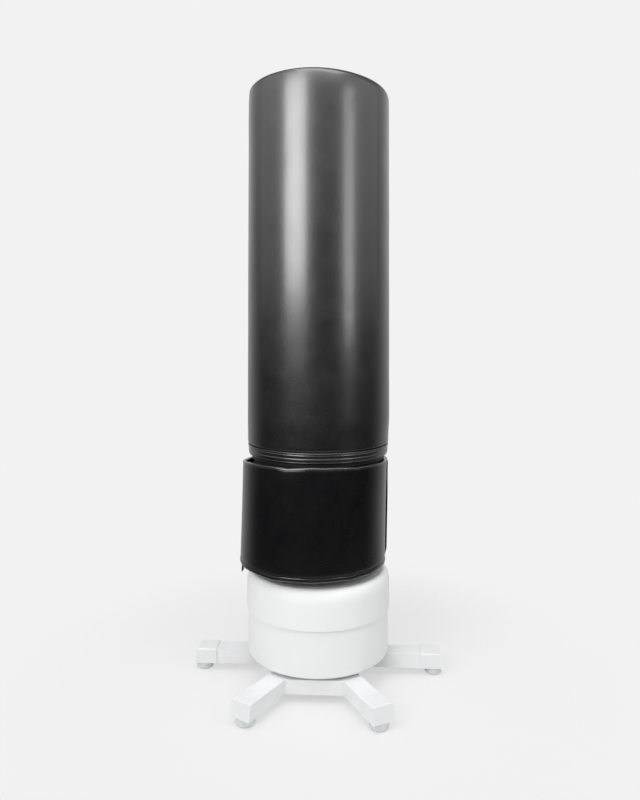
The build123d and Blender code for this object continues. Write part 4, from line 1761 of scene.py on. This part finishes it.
@dataclass(frozen=True)
class SoftBox:
    """An area lamp. Azimuth is 0 in front of the object and positive to the right."""

    name: str
    azimuth: float
    away: float
    level: float
    width: float
    tall: float
    radiance: float
    aimed: float
    spread: float = 180

    def place(self, turn: float) -> None:
        """Adds the lamp.

        Args:
            turn: The camera's own azimuth in degrees, which the lamp's starts from.
        """
        a = radians(self.azimuth + turn)
        place = Vector((sin(a) * self.away, -cos(a) * self.away, self.level)) * MM
        aim = Vector((0, 0, self.aimed)) * MM
        bpy.ops.object.light_add(type="AREA", location=place)
        lamp = bpy.context.object
        lamp.name = self.name
        lamp.rotation_euler = (aim - place).to_track_quat("-Z", "Y").to_euler()
        lamp.data.shape = "RECTANGLE"
        lamp.data.size = self.width * MM
        lamp.data.size_y = self.tall * MM
        lamp.data.spread = radians(self.spread)
        lamp.data.energy = self.radiance * pi * self.width * self.tall * MM * MM
        lamp.visible_camera = False


@dataclass
class Studio:
    """Camera, floor, world and lamps. Sizes in millimetres."""

    backdrop: str = "#F2F2F2"
    paper: str = "#E6E6E6"
    distance: float = 1908.9
    height: float = 943.5
    turn: float = 2.97
    aside: float = 5.2
    lens_share: float = 0.8317875
    shift: float = -0.0755
    floor_radius: float = 1020.0
    floor_fade: tuple[float, float] = (420.0, 1000.0)
    fill_strength: float = 0.66
    pale_above: tuple[float, float] = (-0.08, 0.6)
    pale_behind: tuple[float, float] = (0.05, 0.85)
    climbing: tuple[float, float] = (-0.1, 0.3)
    behind_low: float = 0.6
    behind_high: float = 0.95
    ceiling: tuple[float, float] = (0.3, 0.65)
    ceiling_dim: float = 0.25
    ceiling_front: float = 0.3
    paper_seen: float = 0.6
    lamps: tuple[SoftBox, ...] = (
        SoftBox("key_softbox", -35.7, 2300, 2080, 1390, 1700, radiance=3.2, aimed=1900, spread=100),
        SoftBox("fill_softbox", 46.5, 2300, 1750, 650, 1500, radiance=1.75, aimed=1800, spread=100),
        SoftBox("left_panel", -84, 2100, 2150, 1400, 2100, radiance=0.42, aimed=2000),
        SoftBox("right_panel", 82, 2100, 2150, 1600, 2100, radiance=0.45, aimed=2000),
        SoftBox("top_softbox", 0, 900, 2850, 1700, 1200, radiance=4.0, aimed=1200),
    )

    def build(self) -> None:
        """Makes the whole studio: camera, floor, world, then soft boxes and panels."""
        self.make_camera()
        self.make_floor()
        self.make_world()
        for lamp in self.lamps:
            lamp.place(self.turn)
        bpy.context.scene.view_settings.view_transform = "Standard"

    def make_camera(self) -> None:
        """The camera, level, at the height of the bag's lower half."""
        a = radians(self.turn)
        back, right = Vector((sin(a), -cos(a), 0)), Vector((cos(a), sin(a), 0))
        bpy.ops.object.camera_add(
            location=(back * self.distance + right * self.aside + Vector((0, 0, self.height))) * MM,
            rotation=(pi / 2, 0, a),
        )
        camera = bpy.context.object
        camera.name = "studio_camera"
        camera.data.lens = self.lens_share * camera.data.sensor_width
        camera.data.shift_y = self.shift
        bpy.context.scene.camera = camera

    def make_floor(self) -> None:
        """A round pale floor that fades into the backdrop."""
        deselect_all()
        bpy.ops.mesh.primitive_circle_add(
            vertices=128, radius=self.floor_radius * MM, fill_type="NGON", location=(0, 0, -0.0004)
        )
        floor = bpy.context.object
        floor.name = "studio_floor"
        material = bpy.data.materials.new("studio_floor_paper")
        material.use_nodes = True
        tree = material.node_tree
        tree.nodes.clear()
        place = add(tree, "ShaderNodeTexCoord").outputs["Object"]
        away = add(tree, "ShaderNodeVectorMath", {0: place}, operation="LENGTH").outputs["Value"]
        start, end = self.floor_fade
        ends = {"From Min": start * MM, "From Max": end * MM}
        fade = add(tree, "ShaderNodeMapRange", {"Value": away, **ends}, interpolation_type="SMOOTHSTEP")
        paper = add(tree, "ShaderNodeBsdfDiffuse", {"Color": linear(self.paper)}).outputs[0]
        plain = add(tree, "ShaderNodeEmission", {"Color": linear(self.backdrop), "Strength": 1.0}).outputs[0]
        seen = add(tree, "ShaderNodeLightPath").outputs["Is Camera Ray"]
        share = add(tree, "ShaderNodeMath", {0: seen, 1: self.paper_seen}, operation="MULTIPLY").outputs[0]
        sheet = add(tree, "ShaderNodeMixShader", {0: share, 1: paper, 2: plain}).outputs[0]
        clear = add(tree, "ShaderNodeBsdfTransparent").outputs[0]
        mixed = add(tree, "ShaderNodeMixShader", {0: fade.outputs[0], 1: sheet, 2: clear}).outputs[0]
        add(tree, "ShaderNodeOutputMaterial", {0: mixed})
        floor.data.materials.append(material)

    def make_world(self) -> None:
        """Even light all round, and the pale backdrop for the camera, gloss and glass."""
        world = bpy.data.worlds.new("studio_world")
        bpy.context.scene.world = world
        world.use_nodes = True
        tree = world.node_tree
        tree.nodes.clear()
        path = add(tree, "ShaderNodeLightPath").outputs
        rays = {0: path["Is Camera Ray"], 1: path["Is Transmission Ray"]}
        seen = add(tree, "ShaderNodeMath", rays, operation="MAXIMUM").outputs[0]
        pale, white = linear(self.backdrop), linear("#FFFFFF")
        backdrop = add(tree, "ShaderNodeBackground", {"Color": pale, "Strength": 1.0}).outputs[0]
        fill = add(tree, "ShaderNodeBackground", {"Color": white, "Strength": self.fill_strength}).outputs[0]
        # gloss sees the same backdrop above and behind, and the room's dark floor low in front
        way = add(tree, "ShaderNodeTexCoord").outputs["Generated"]
        way = add(tree, "ShaderNodeSeparateXYZ", {0: way}).outputs
        above, behind, climb, dark = (
            add(
                tree,
                "ShaderNodeMapRange",
                {"Value": way[axis], "From Min": start, "From Max": end, "To Min": first, "To Max": last},
                interpolation_type="SMOOTHSTEP",
            ).outputs[0]
            for axis, start, end, first, last in (
                (2, *self.pale_above, 0.0, 1.0),
                (1, *self.pale_behind, 0.0, 1.0),
                (2, *self.climbing, self.behind_low, self.behind_high),
                (2, *self.ceiling, 1.0, self.ceiling_dim),
            )
        )
        sweep = add(tree, "ShaderNodeMath", {0: behind, 1: climb}, operation="MULTIPLY").outputs[0]
        sky = add(tree, "ShaderNodeMath", {0: above, 1: sweep}, operation="MAXIMUM").outputs[0]
        # the ceiling behind is dim, so the top's far edge draws a dark line
        inputs = {"Value": way[1], "From Max": self.ceiling_front, "To Min": 1.0, "To Max": 0.0}
        front = add(tree, "ShaderNodeMapRange", inputs).outputs[0]
        gate = add(tree, "ShaderNodeMath", {0: dark, 1: front}, operation="MAXIMUM").outputs[0]
        sky = add(tree, "ShaderNodeMath", {0: sky, 1: gate}, operation="MULTIPLY").outputs[0]
        room = add(tree, "ShaderNodeBackground", {"Color": pale, "Strength": sky}).outputs[0]
        lit = add(tree, "ShaderNodeMixShader", {0: path["Is Glossy Ray"], 1: fill, 2: room}).outputs[0]
        mixed = add(tree, "ShaderNodeMixShader", {0: seen, 1: lit, 2: backdrop}).outputs[0]
        add(tree, "ShaderNodeOutputWorld", {0: mixed})


def main() -> None:
    """Builds the studio, then the object from the bag down."""
    logging.basicConfig(level=logging.INFO, format="%(name)s: %(message)s")
    for part in (Studio, BagBody, Wrap, SpringPack, Hardware):
        part().build()


if __name__ == "__main__":
    main()
